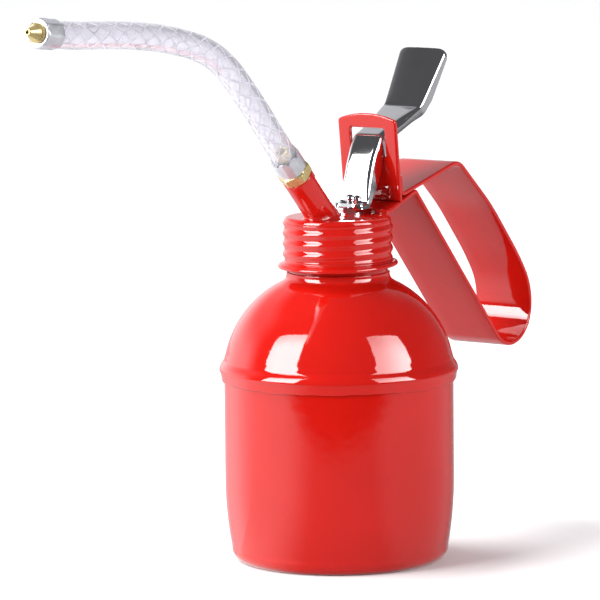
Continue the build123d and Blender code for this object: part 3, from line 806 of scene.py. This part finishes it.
def make_dome():
    """Dome with its skirt rolled over the can's flange, and the collar round the neck."""
    seam_r = CAN_R + SEAM_BULGE
    skirt = smooth([
        (CAN_R + 0.22, SEAM_LOW_Z + 0.9), (CAN_R + 0.26, SEAM_LOW_Z + 0.35),
        (CAN_R + 0.48, SEAM_LOW_Z + 0.02), (CAN_R + 0.78, SEAM_LOW_Z + 0.14),
        (CAN_R + 0.93, SEAM_LOW_Z + 0.6), (CAN_R + 1.05, SEAM_LOW_Z + 1.6),
        (CAN_R + 1.42, SEAM_LOW_Z + 3.2), (seam_r, SEAM_Z), (seam_r - 0.06, SEAM_Z + 0.8),
        (CAN_R + 1.12, SEAM_Z + 1.8), (CAN_R + 0.55, SEAM_Z + 2.7), (CAN_R + 0.1, SEAM_Z + 3.5),
        (CAN_R - 0.15, SEAM_Z + 4.4), (dome_r(68.2), 68.2),
    ], 4)
    low_a = asin((68.2 - DOME_ARC_Z) / DOME_ARC_R)
    high_a = acos((21.0 - DOME_ARC_X) / DOME_ARC_R)
    steps = [low_a + (high_a - low_a) * i / 36 for i in range(37)]
    shoulder = [(DOME_ARC_X + DOME_ARC_R * cos(t), DOME_ARC_Z + DOME_ARC_R * sin(t)) for t in steps]
    neck = smooth([(21.0, dome_z(21.0)), (18.6, 91.45), (17.35, 92.5), (COLLAR_R, 93.7),
                   (COLLAR_R - 0.02, COLLAR_TOP_Z - 0.2), (COLLAR_R - 0.25, COLLAR_TOP_Z)], 4)
    inner_r = NECK_R + 0.02
    inside = [(inner_r, COLLAR_TOP_Z), (inner_r, COLLAR_TOP_Z - 2.2), (18.0, 90.6)]
    high_i = acos((21.3 - DOME_ARC_X) / (DOME_ARC_R - SHEET))
    low_i = asin((66.1 - DOME_ARC_Z) / (DOME_ARC_R - SHEET))
    for i in range(13):
        t, r = high_i + (low_i - high_i) * i / 12, DOME_ARC_R - SHEET
        inside.append((DOME_ARC_X + r * cos(t), DOME_ARC_Z + r * sin(t)))
    inside += [(CAN_R + 0.9, SEAM_Z + 0.35), (CAN_R + 0.9, SEAM_Z - 0.45), (CAN_R + 0.06, SEAM_Z - 1.3),
               (CAN_R + 0.06, SEAM_LOW_Z + 1.6)]

    def shape(r, z, a):
        near = 1 - smoothstep(SEAM_LOW_Z + 0.3, SEAM_LOW_Z + 3.0, z)
        return r + 0.25 * near * ripple(a + 1, SEAM_WAVES), z + near * ripple(a, SEAM_WAVES)

    rows = lathe_rows(join(skirt, shoulder, neck, inside), 192, shape)
    return skin_piece("can_dome", rows, "reservoir", ENAMEL, "red_paint", 40, ["reservoir_dome"])


def thread_lift(z, a, first, low, high, fade):
    """0 to 1 height of a rolled right-hand thread's ridge at a height and angle."""
    turn = (z - first) / THREAD_PITCH - a / (2 * pi)
    ridge = 0.5 + 0.5 * cos(2 * pi * turn)
    return ridge * smoothstep(low, low + fade, z) * (1 - smoothstep(high - fade, high, z))


def make_neck():
    """Neck with its rolled helical thread."""
    profile = join(
        [(NECK_R - 0.12, NECK_LOW_Z), (NECK_R, NECK_LOW_Z + 0.1)],
        line((NECK_R, 96.2), (NECK_R, NECK_TOP_Z - 0.15), 84),
        [(NECK_R - 0.15, NECK_TOP_Z), (NECK_R - SHEET, NECK_TOP_Z), (NECK_R - SHEET, NECK_LOW_Z)],
    )

    def shape(r, z, a):
        if r < NECK_R - 0.01:
            return r, z
        return r + 0.42 * thread_lift(z, a, 98.2, 96.6, 110.0, 1.3), z

    return skin_piece("can_threaded_neck", lathe_rows(profile, 144, shape), "reservoir", ENAMEL,
                      "red_paint", 40, ["threaded_neck"])


def make_cap():
    """Pressed cap: rolled helical thread in its wall, flared and hemmed lip, flat top."""
    top = join(
        [(0, CAP_TOP_Z)], line((4.0, CAP_TOP_Z), (15.6, CAP_TOP_Z), 4),
        smooth([(15.6, CAP_TOP_Z), (16.4, CAP_TOP_Z - 0.06), (17.05, CAP_TOP_Z - 0.38),
                (17.4, CAP_TOP_Z - 1.0), (CAP_ROOT_R + 0.02, CAP_TOP_Z - 1.7)], 4),
    )
    wall = line((CAP_ROOT_R, CAP_TOP_Z - 1.75), (CAP_ROOT_R, 98.6), 110)
    lip = smooth([
        (CAP_ROOT_R, 98.5), (17.66, 98.15), (18.25, 97.75), (18.95, 97.45), (CAP_LIP_R - 0.05, 97.0),
        (CAP_LIP_R + 0.1, 96.5), (CAP_LIP_R - 0.12, 96.1), (CAP_LIP_R - 0.5, CAP_LIP_Z), (18.6, 96.2),
        (17.5, 97.3), (CAP_BORE_R, 98.4),
    ], 4)
    inside = [(CAP_BORE_R, CAP_TOP_Z - SHEET), (0, CAP_TOP_Z - SHEET)]
    bent_at = atan2(CAM_RIGHT.y, CAM_RIGHT.x)

    def shape(r, z, a):
        if z < 98.55 and r > CAP_ROOT_R:
            return r, z + 0.95 * smoothstep(CAP_ROOT_R, 19.2, r) * max(0.0, cos(a - bent_at)) ** 1.5
        if abs(r - CAP_ROOT_R) > 0.01 or z < 98.0:
            return r, z
        return CAP_ROOT_R + (CAP_CREST_R - CAP_ROOT_R) * thread_lift(z, a, 99.4, 98.3, 111.7, 1.1), z

    rows = lathe_rows(join(top, wall, lip, inside), 192, shape)
    return skin_piece("pump_screw_cap", rows, "pump_head", ENAMEL, "red_paint", 40, ["screw_cap"])


# ---- boss ----
def make_boss():
    """Slanted tube brazed on the cap, with a fillet of braze and a chamfered mouth."""
    count = 128
    along = Vector((-DEG45, 0, DEG45))
    across = Vector((DEG45, 0, DEG45))
    foot = Vector((BOSS_FOOT[0], 0, BOSS_FOOT[1]))
    heights = [0, 0.12, 0.25, 0.45, 0.7, 1.0, 1.4, 2.0, 3.0]
    fillet, reach = 0.85, 1.35
    columns = []
    for i in range(count):
        a = 2 * pi * i / count
        out = across * cos(a) + SIDE * sin(a)
        bead = fillet * (1 + ripple(a, [(3, 0.12, 0.5), (7, 0.10, 1.9), (12, 0.06, 0.2)]))
        start = -BOSS_R * cos(a)
        line_up = [foot + out * (BOSS_R - 0.5) + along * (start - 0.35)]
        for h in heights:
            r = BOSS_R + bead * max(0.0, 1 - h / reach) ** 2.2
            s = (h / DEG45) - r * cos(a)
            line_up.append(foot + out * r + along * s)
        low = 3.0 / DEG45 - BOSS_R * cos(a)
        for k in range(1, 9):
            line_up.append(foot + out * BOSS_R + along * (low + (BOSS_LENGTH - 0.5 - low) * k / 8))
        for r, s in ((BOSS_R - 0.03, BOSS_LENGTH - 0.25), (BOSS_R - 0.14, BOSS_LENGTH - 0.08),
                     (BOSS_R - 0.35, BOSS_LENGTH), (3.2, BOSS_LENGTH), (3.0, BOSS_LENGTH - 0.2),
                     (3.0, 8.0)):
            line_up.append(foot + out * r + along * s)
        columns.append(line_up)
    return skin_piece("spout_boss_tube", list(zip(*columns)), "pump_head", ENAMEL, "red_paint", 42,
                      ["spout_boss"], ends=True)


# ---- bracket ----
def run_top_z(x):
    """Height of the upper face of the handle's lower run."""
    slope = (117.97 - CAP_TOP_Z) / (29.7 - 15.05)
    return CAP_TOP_Z + slope * (x - 15.05) + STRIP * sqrt(1 + slope * slope)


def plate_x(z):
    """X of the bracket's middle plane at a height."""
    return PLATE_X - PLATE_LEAN * (z - PLATE_Z)


def even_loop(points, count):
    """A closed loop of (y, z) points spread evenly along it."""
    closed = points + [points[0]]
    reach = reaches(closed)
    out = []
    for k, t in walk(reach, [reach[-1] * i / count for i in range(count)]):
        (ay, az), (by, bz) = closed[k], closed[k + 1]
        out.append((ay + (by - ay) * t, az + (bz - az) * t))
    return out


def box_corners(half, low, high, r, count):
    """A box's four rounded corners, each a run of (y, z) points: lower right, then anticlockwise."""
    runs = []
    for i, (side, z) in enumerate(((1, low + r), (1, high - r), (-1, high - r), (-1, low + r))):
        steps = [pi / 2 * (i - 1 + k / count) for k in range(count + 1)]
        runs.append([(side * (half - r) + r * cos(t), z + r * sin(t)) for t in steps])
    return runs


def moved_loop(loop, distance):
    """A closed counter-clockwise loop moved out of itself by a distance."""
    out = []
    n = len(loop)
    for i, (y, z) in enumerate(loop):
        (ay, az), (by, bz) = loop[i - 1], loop[(i + 1) % n]
        run = hypot(by - ay, bz - az)
        out.append((y + (bz - az) / run * distance, z - (by - ay) / run * distance))
    return out


def make_bracket():
    """Upright plate with an arched top, rounded edges and the lever's window."""
    shoulder_z, crown_z, low_z = 142.9, 145.0, run_top_z(plate_x(PLATE_Z)) - 0.05
    arch = arc((PLATE_HALF, shoulder_z), (0, crown_z), (-PLATE_HALF, shoulder_z), 40)
    outline = [(PLATE_HALF, low_z)]
    outline += line((PLATE_HALF, low_z + 0.01), (PLATE_HALF, shoulder_z - 1.0), 20)
    outline += smooth([(PLATE_HALF, shoulder_z - 1.0), (PLATE_HALF - 0.12, shoulder_z - 0.25),
                       (PLATE_HALF - 0.7, shoulder_z + 0.28)], 4)[1:-1]
    outline += [p for p in arch if abs(p[0]) < PLATE_HALF - 0.6]
    outline += smooth([(-PLATE_HALF + 0.7, shoulder_z + 0.28), (-PLATE_HALF + 0.12, shoulder_z - 0.25),
                       (-PLATE_HALF, shoulder_z - 1.0)], 4)[1:-1]
    outline += line((-PLATE_HALF, shoulder_z - 1.0), (-PLATE_HALF, low_z), 20)
    count = 240
    outer = even_loop(outline, count)
    window = box_corners(WINDOW_HALF, WINDOW_LOW_Z, WINDOW_TOP_Z, 0.9, 8)
    inner = even_loop(sum(window, []), count)
    start = min(range(count),
                key=lambda k: hypot(inner[k][0] - WINDOW_HALF, inner[k][1] - WINDOW_LOW_Z))
    inner = inner[start:] + inner[:start]
    edge = [(0.50, -0.75), (0.26, -0.70), (0.08, -0.54), (0.0, -0.28), (0.0, 0.28), (0.08, 0.54),
            (0.26, 0.70), (0.50, 0.75)]

    def place(y, z, t):
        return (plate_x(z) + t * PLATE / 1.5, y, z)

    def face(shares, t):
        """Rows across the plate's face between its outline and its window."""
        pairs = list(zip(moved_loop(outer, -0.5), moved_loop(inner, 0.5)))
        return [[place(a[0] + (b[0] - a[0]) * share, max(low_z, a[1] + (b[1] - a[1]) * share), t)
                 for a, b in pairs] for share in shares]

    rows = []
    for inset, t in edge:
        rows.append([place(y, max(z, low_z), t) for y, z in moved_loop(outer, -inset)])
    rows += face((0.25, 0.5, 0.75), 0.75)
    for inset, t in reversed(edge):
        rows.append([place(y, z, t) for y, z in moved_loop(inner, inset)])
    rows += face((0.75, 0.5, 0.25), -0.75)
    return skin_piece("lever_bracket_plate", rows, "pump_head", ENAMEL, "red_paint", 45,
                      ["lever_bracket"])


# ---- handle ----
def eased(path, start, end, rounds):
    """The path with the stretch between its points nearest to start and end eased by averaging."""
    def nearest(place):
        return min(range(len(path)),
                   key=lambda k: hypot(path[k][0][0] - place[0], path[k][0][1] - place[1]))

    first, last = nearest(start), nearest(end)
    reach = reaches([point for point, _ in path[first:last + 1]])
    count = int(reach[-1])
    points = []
    for k, t in walk(reach, [reach[-1] * i / count for i in range(count + 1)]):
        a, b = path[first + k][0], path[first + k + 1][0]
        points.append((a[0] + (b[0] - a[0]) * t, a[1] + (b[1] - a[1]) * t))
    for _ in range(rounds):
        middle = [tuple(0.25 * p + 0.5 * q + 0.25 * r for p, q, r in zip(a, b, c))
                  for a, b, c in zip(points, points[1:], points[2:])]
        points = [points[0]] + middle + [points[-1]]
    out = path[:first + 1]
    for a, b, c in zip(points, points[1:], points[2:]):
        run = hypot(c[0] - a[0], c[1] - a[1])
        out.append((b, ((c[1] - a[1]) / run, -(c[0] - a[0]) / run)))
    return out + path[last:]


HANDLE_CORNERS = [
    (21.85, 124.6), (22.5, 119.1), (56.0, 127.2), (76.5, 109.9), (92.5, 92.4), (101.6, 80.5),
    (101.6, 60.2), (83.1, 60.2), (29.7, 117.97), (15.05, CAP_TOP_Z), (12.2, CAP_TOP_Z),
]
HANDLE_BENDS = [0.8, 8.0, 60.0, 40.0, 20.0, 13.2, 11.5, 0.8, 5.0]


def make_handle():
    """Flat strip bent into the handle's loop, its edges rounded."""
    path = eased(sheet_path(HANDLE_CORNERS, HANDLE_BENDS), (61, 123), (80, 63), 14)
    right_low, right_high, left_high, left_low = box_corners(STRIP_HALF, 0.0, STRIP, 0.45, 5)
    section = right_high + line(right_high[-1], left_high[0], 5)[1:-1] + left_high
    section += left_low + line(left_low[-1], right_low[0], 5)[1:-1] + right_low
    rows = [[(x + nx * t, y, z + nz * t) for y, t in section] for (x, z), (nx, nz) in path]
    return skin_piece("handle_loop_strip", rows, "pump_head", ENAMEL, "red_paint", 50,
                      ["handle_strip"], ends=True)


# ---- lever ----
LEVER_CORNERS = [
    (4.6, FOOT_TOP_Z), (9.15, FOOT_TOP_Z), (10.0, 121.5), (13.0, 131.6), (17.4, 137.9), (38.1, 146.1),
    (50.8, 164.3),
]
LEVER_BENDS = [1.1, 22.0, 30.0, 3.0, 4.0]
PADDLE_CORNER = 2.3
FOOT_CORNER = 2.0
# The foot's long hole by length along the lever: its straight sides, and how far its ends reach past.
HOLE_NEAR, HOLE_FAR = 2.35, 3.9
HOLE_NEAR_END, HOLE_FAR_END = 1.4, 1.9


def lever_half(s, total):
    """Half the lever's width at a length along it."""
    knots = [(0, LEVER_HALF + 0.3), (6, LEVER_HALF + 0.2), (12, LEVER_HALF), (20, LEVER_HALF),
             (24, LEVER_HALF + 0.3), (29, LEVER_HALF + 0.3), (34, 5.9), (52, PADDLE_ROOT_HALF),
             (73, PADDLE_HALF), (90, PADDLE_HALF)]
    width = between(knots, s)
    for corner, past in ((PADDLE_CORNER, s - (total - PADDLE_CORNER)), (FOOT_CORNER, FOOT_CORNER - s)):
        if past > 0:
            width -= corner - sqrt(max(0.0, corner**2 - past**2))
    return width


def lever_depth(s, total):
    """How far the side flanges reach below the web's top at a length along the lever."""
    knots = [(0, 1.9), (4.5, 2.0), (7, 2.9), (10, 4.3), (14, 5.4), (20, 5.9), (26, 5.0), (30, 4.2),
             (36, 3.6), (44, 3.2), (50, 3.4), (54, 3.8), (60, 3.3), (68, 2.6), (76, 1.9)]
    depth = between(knots, s)
    if s > total - 3.0:
        depth = depth + (1.1 - depth) * smoothstep(total - 3.0, total - 0.2, s)
    return depth


def half_section(inside, half, depth, bend):
    """Right half of a channel's section from the web's inner end round the flange and back."""
    t = LEVER_SHEET
    bend = min(bend, half * 0.6)
    drop = max(0.0, depth - bend)
    inner_bend = max(0.25, bend - t)
    lean = 0.10
    outer, inner = [], []
    for k in range(9):
        a = pi / 2 * k / 8
        outer.append((half - bend + bend * sin(a), bend - bend * cos(a)))
        inner.append((half - t - inner_bend + inner_bend * sin(a), t + inner_bend - inner_bend * cos(a)))
    tip_out, tip_in = (half + lean * drop, bend + drop), (half - t + lean * drop, bend + drop)
    low = inner[-1][1]
    tip = max(tip_in[1], low + 0.4)
    tip_out, tip_in = (tip_out[0], tip), (tip_in[0], tip)
    side = outer + [((outer[-1][0] + tip_out[0]) / 2, (outer[-1][1] + tip) / 2), (tip_out[0], tip - 0.2),
                    (tip_out[0] - 0.2, tip), (tip_in[0] + 0.2, tip), (tip_in[0], tip - 0.2),
                    ((tip_in[0] + inner[-1][0]) / 2, (tip - 0.2 + low) / 2)] + list(reversed(inner))
    top = [(inside + (half - bend - inside) * f, 0.0) for f in (0, 0.25, 0.5, 0.75)]
    under = [(inside + (half - t - inner_bend - inside) * f, t) for f in (0.75, 0.5, 0.25, 0)]
    return top + side + under


def slot_half(s):
    """Half the foot's long hole for the rod at a length along the lever, round at both ends."""
    end = HOLE_NEAR_END if s < HOLE_NEAR else HOLE_FAR_END
    past = max(HOLE_NEAR - s, s - HOLE_FAR, 0.0)
    return (ROD_R + 0.15) * sqrt(max(0.0, 1 - (past / end) ** 2))


def make_lever():
    """Pressed chrome lever: foot with a long hole for the rod, curved web through the window, thumb
    paddle with rims.
    """
    path = sheet_path(LEVER_CORNERS, LEVER_BENDS, 0.7)
    reach = reaches([point for point, _ in path])
    total = reach[-1]
    stops = [total * i / 150 for i in range(151)]
    stops += [total - PADDLE_CORNER * (1 - sin(pi / 2 * i / 10)) for i in range(10)]
    stops += [HOLE_FAR + HOLE_FAR_END * sin(pi / 2 * i / 8) for i in range(9)]
    stops += [HOLE_NEAR - HOLE_NEAR_END * sin(pi / 2 * i / 8) for i in range(9)]
    stops = sorted(set(round(s, 3) for s in stops))
    rows = []
    for s, (k, t) in zip(stops, walk(reach, stops)):
        ((ax, az), (anx, anz)), ((bx, bz), (bnx, bnz)) = path[k], path[k + 1]
        nx, nz = anx + (bnx - anx) * t, anz + (bnz - anz) * t
        m = hypot(nx, nz)
        x, z, nx, nz = ax + (bx - ax) * t, az + (bz - az) * t, nx / m, nz / m
        half = lever_half(s, total)
        bend = 0.9 + 0.9 * smoothstep(6, 14, s) * (1 - smoothstep(38, 50, s))
        crown = 0.25 * smoothstep(46, 56, s)
        section = half_section(slot_half(s), half, lever_depth(s, total), bend)
        sunk = [(y, d + crown * (y / half) ** 2) for y, d in section]
        rows.append([(x + nx * d, y, z + nz * d) for y, d in sunk])
    bm = bmesh.new()
    add_skin(bm, rows)
    seam = [f for f in bm.faces if all(abs(v.co.y) < 1e-4 for v in f.verts)]
    bmesh.ops.delete(bm, geom=seam, context="FACES")
    twin = bmesh.ops.duplicate(bm, geom=bm.verts[:] + bm.edges[:] + bm.faces[:])
    for item in twin["geom"]:
        if isinstance(item, bmesh.types.BMVert):
            item.co.y = -item.co.y
    bmesh.ops.reverse_faces(bm, faces=[f for f in twin["geom"] if isinstance(f, bmesh.types.BMFace)])
    return finish_mesh("thumb_lever_pressing", bm, "lever", CHROME, "chrome", 40, ["thumb_lever"])


make_cup()
make_dome()
make_neck()
make_cap()
make_boss()
make_bracket()
make_handle()
make_lever()


# ---- floor, light and world ----
def flat_sheet(name, corners, material):
    """One flat face, for the stage."""
    bm = bmesh.new()
    bm.faces.new([bm.verts.new(corner) for corner in corners])
    mesh = bpy.data.meshes.new(name)
    bm.to_mesh(mesh)
    bm.free()
    mesh.materials.append(material)
    sheet = bpy.data.objects.new(name, mesh)
    SCENE.collection.objects.link(sheet)
    return sheet


def make_floor():
    """A large, pale, slightly satin floor."""
    material, tree, shader = new_material("floor_paper", (0.86, 0.86, 0.87), Roughness=0.75)
    where = coordinates(tree)
    tone = color_mix(tree, noise(tree, where, 3, 3), (0.84, 0.84, 0.855), (0.88, 0.88, 0.885))
    tree.links.new(tone, shader.inputs["Base Color"])
    bump(tree, shader, [(noise(tree, where, 600, 2), 0.0002, 0.05)])
    count, radius = 64, 9.0
    rim = [(radius * cos(2 * pi * i / count), radius * sin(2 * pi * i / count), 0) for i in range(count)]
    floor = flat_sheet("floor", rim, material)
    floor.visible_glossy = False


def direction(azimuth, elevation):
    """Unit vector at an azimuth from the camera's direction, positive to its right, degrees."""
    a, e = radians(azimuth), radians(elevation)
    flat = TO_CAMERA * cos(a) + CAM_RIGHT * sin(a)
    return flat * cos(e) + Vector((0, 0, sin(e)))


def softbox(name, inner, outer, low, high, radiance, across_fade, top_fade):
    """An upright area light between two (azimuth, distance) edges and two heights, metres.

    Each fade is (from, to, level at from, level at to), in shares of the width or of the height.
    """
    edges = [direction(azimuth, 0) * distance for azimuth, distance in (inner, outer)]
    data = bpy.data.lights.new(name, "AREA")
    data.shape = "RECTANGLE"
    data.size, data.size_y = (edges[1] - edges[0]).length, high - low
    data.energy = radiance * pi * data.size * data.size_y
    data.use_nodes = True
    tree = data.node_tree
    _, soft, math = shade_tools(tree)
    spot = node(tree, "ShaderNodeSeparateXYZ")
    tree.links.new(node(tree, "ShaderNodeNewGeometry").outputs["Parametric"], spot.inputs[0])
    level = math("MULTIPLY", soft(spot.outputs["X"], *across_fade), soft(spot.outputs["Y"], *top_fade))
    tree.links.new(level, tree.nodes["Emission"].inputs["Strength"])
    lamp = bpy.data.objects.new(name, data)
    SCENE.collection.objects.link(lamp)
    place = (edges[0] + edges[1]) / 2 + Vector((0, 0, (low + high) / 2))
    across = (edges[1] - edges[0]).normalized()
    up = Vector((0, 0, 1))
    back = across.cross(up)
    if back.dot(place) < 0:
        across, back = -across, -back
    lamp.matrix_world = Matrix.Translation(place) @ Matrix((across, up, back)).transposed().to_4x4()
    lamp.visible_camera = False


def make_lights():
    """Soft studio light: two upright softboxes in front, and a broad fill from the left."""
    softbox("key_left", (-43.5, 1.0), (-80, 1.5), 0.245, 1.22, 12.6,
            (0.0, 0.5, 0.88, 1.0), (0.5, 1.0, 1.0, 0.6))
    softbox("key_right", (37.5, 1.0), (78, 1.42), 0.24, 1.14, 10.2,
            (0.0, 0.8, 0.5, 1.0), (0.2, 1.0, 1.0, 0.55))
    sun = bpy.data.lights.new("fill_sun", "SUN")
    sun.energy = 3.6
    sun.angle = radians(40)
    lamp = bpy.data.objects.new("fill_sun", sun)
    SCENE.collection.objects.link(lamp)
    back = direction(-110, 58)
    lamp.matrix_world = back.to_track_quat("Z", "Y").to_matrix().to_4x4()
    lamp.visible_glossy = False
    make_world()


def shade_tools(tree):
    """Small builders for value nodes: a dot product, a smooth ramp and arithmetic."""
    def along(vector, axis):
        dot = node(tree, "ShaderNodeVectorMath", operation="DOT_PRODUCT")
        dot.inputs[1].default_value = axis
        tree.links.new(vector, dot.inputs[0])
        return dot.outputs["Value"]

    def soft(value, low, high, to_low, to_high):
        made = node(tree, "ShaderNodeMapRange", interpolation_type="SMOOTHSTEP", in_From_Min=low,
                    in_From_Max=high, in_To_Min=to_low, in_To_Max=to_high)
        tree.links.new(value, made.inputs["Value"])
        return made.outputs["Result"]

    def math(kind, a, b):
        made = node(tree, "ShaderNodeMath", operation=kind)
        for socket, value in zip(made.inputs, (a, b)):
            if isinstance(value, float):
                socket.default_value = value
            else:
                tree.links.new(value, socket)
        return made.outputs["Value"]

    return along, soft, math


def table_tone(tree, front, right):
    """How bright the table looks in a direction: brightest to the left and behind."""
    _, soft, math = shade_tools(tree)
    left = soft(right, -0.35, -0.90, 0.28, 1.14)
    behind = math("MULTIPLY", soft(front, 0.0, -0.7, 0.0, 0.55), soft(right, 0.6, -0.4, 0.0, 1.0))
    return math("ADD", math("ADD", left, behind), soft(right, 0.45, 0.75, 0.0, 0.2))


def make_world():
    """Dark studio, a pale backdrop low behind to the left, and a pale table below the horizon."""
    world = bpy.data.worlds.new("studio")
    world.use_nodes = True
    SCENE.world = world
    tree = world.node_tree
    along, soft, math = shade_tools(tree)
    where = node(tree, "ShaderNodeTexCoord").outputs["Generated"]
    front, right, up = along(where, TO_CAMERA), along(where, CAM_RIGHT), along(where, (0, 0, 1))
    low = math("MULTIPLY", soft(up, 0.50, 0.15, 0.0, 1.0), soft(right, -0.5, 0.2, 1.0, 0.05))
    high = math("MULTIPLY", soft(up, 0.80, 0.60, 0.0, 0.5), soft(right, 0.1, 0.6, 1.0, 0.0))
    backdrop = math("MULTIPLY", math("ADD", low, high), soft(front, 0.0, -0.4, 0.0, 1.0))
    above = math("ADD", backdrop, 0.09)
    near = soft(front, 0.30, 0.55, 1.0, 0.04)
    below = soft(up, 0.02, -0.04, 0.0, 1.0)
    value = math("ADD", math("MULTIPLY", math("MULTIPLY", table_tone(tree, front, right), near), below),
                 math("MULTIPLY", above, math("SUBTRACT", 1.0, below)))
    tint = color_mix(tree, value, (0.0, 0.0, 0.0), (1.0, 1.0, 1.04))
    tint.node.clamp_factor = False
    tree.links.new(tint, tree.nodes["Background"].inputs["Color"])


def make_table_card():
    """The table's near part as the gloss of the can shows it: it ends in front of the object."""
    material = bpy.data.materials.new("table_card")
    material.use_nodes = True
    tree = material.node_tree
    tree.nodes.clear()
    along, soft, _ = shade_tools(tree)
    where = node(tree, "ShaderNodeTexCoord").outputs["Object"]
    flat = node(tree, "ShaderNodeVectorMath", operation="NORMALIZE")
    tree.links.new(where, flat.inputs[0])
    tone = table_tone(tree, along(flat.outputs[0], TO_CAMERA), along(flat.outputs[0], CAM_RIGHT))
    glow = node(tree, "ShaderNodeEmission")
    tree.links.new(tone, glow.inputs["Strength"])
    clear = node(tree, "ShaderNodeBsdfTransparent")
    mixed = node(tree, "ShaderNodeMixShader")
    tree.links.new(soft(along(where, TO_CAMERA), 0.24, 0.34, 0.0, 1.0), mixed.inputs[0])
    tree.links.new(glow.outputs[0], mixed.inputs[1])
    tree.links.new(clear.outputs[0], mixed.inputs[2])
    out = node(tree, "ShaderNodeOutputMaterial")
    tree.links.new(mixed.outputs[0], out.inputs[0])
    drop = Vector((0, 0, 0.0005))
    corners = [CAM_RIGHT * r + TO_CAMERA * f - drop
               for r, f in ((-0.8, 0.0), (0.8, 0.0), (0.8, 0.36), (-0.8, 0.36))]
    card = flat_sheet("table_card", corners, material)
    card.visible_camera = card.visible_diffuse = card.visible_transmission = False
    card.visible_shadow = card.visible_volume_scatter = False


make_floor()
make_table_card()
make_lights()
SCENE.view_settings.view_transform = "Standard"
SCENE.view_settings.look = "None"
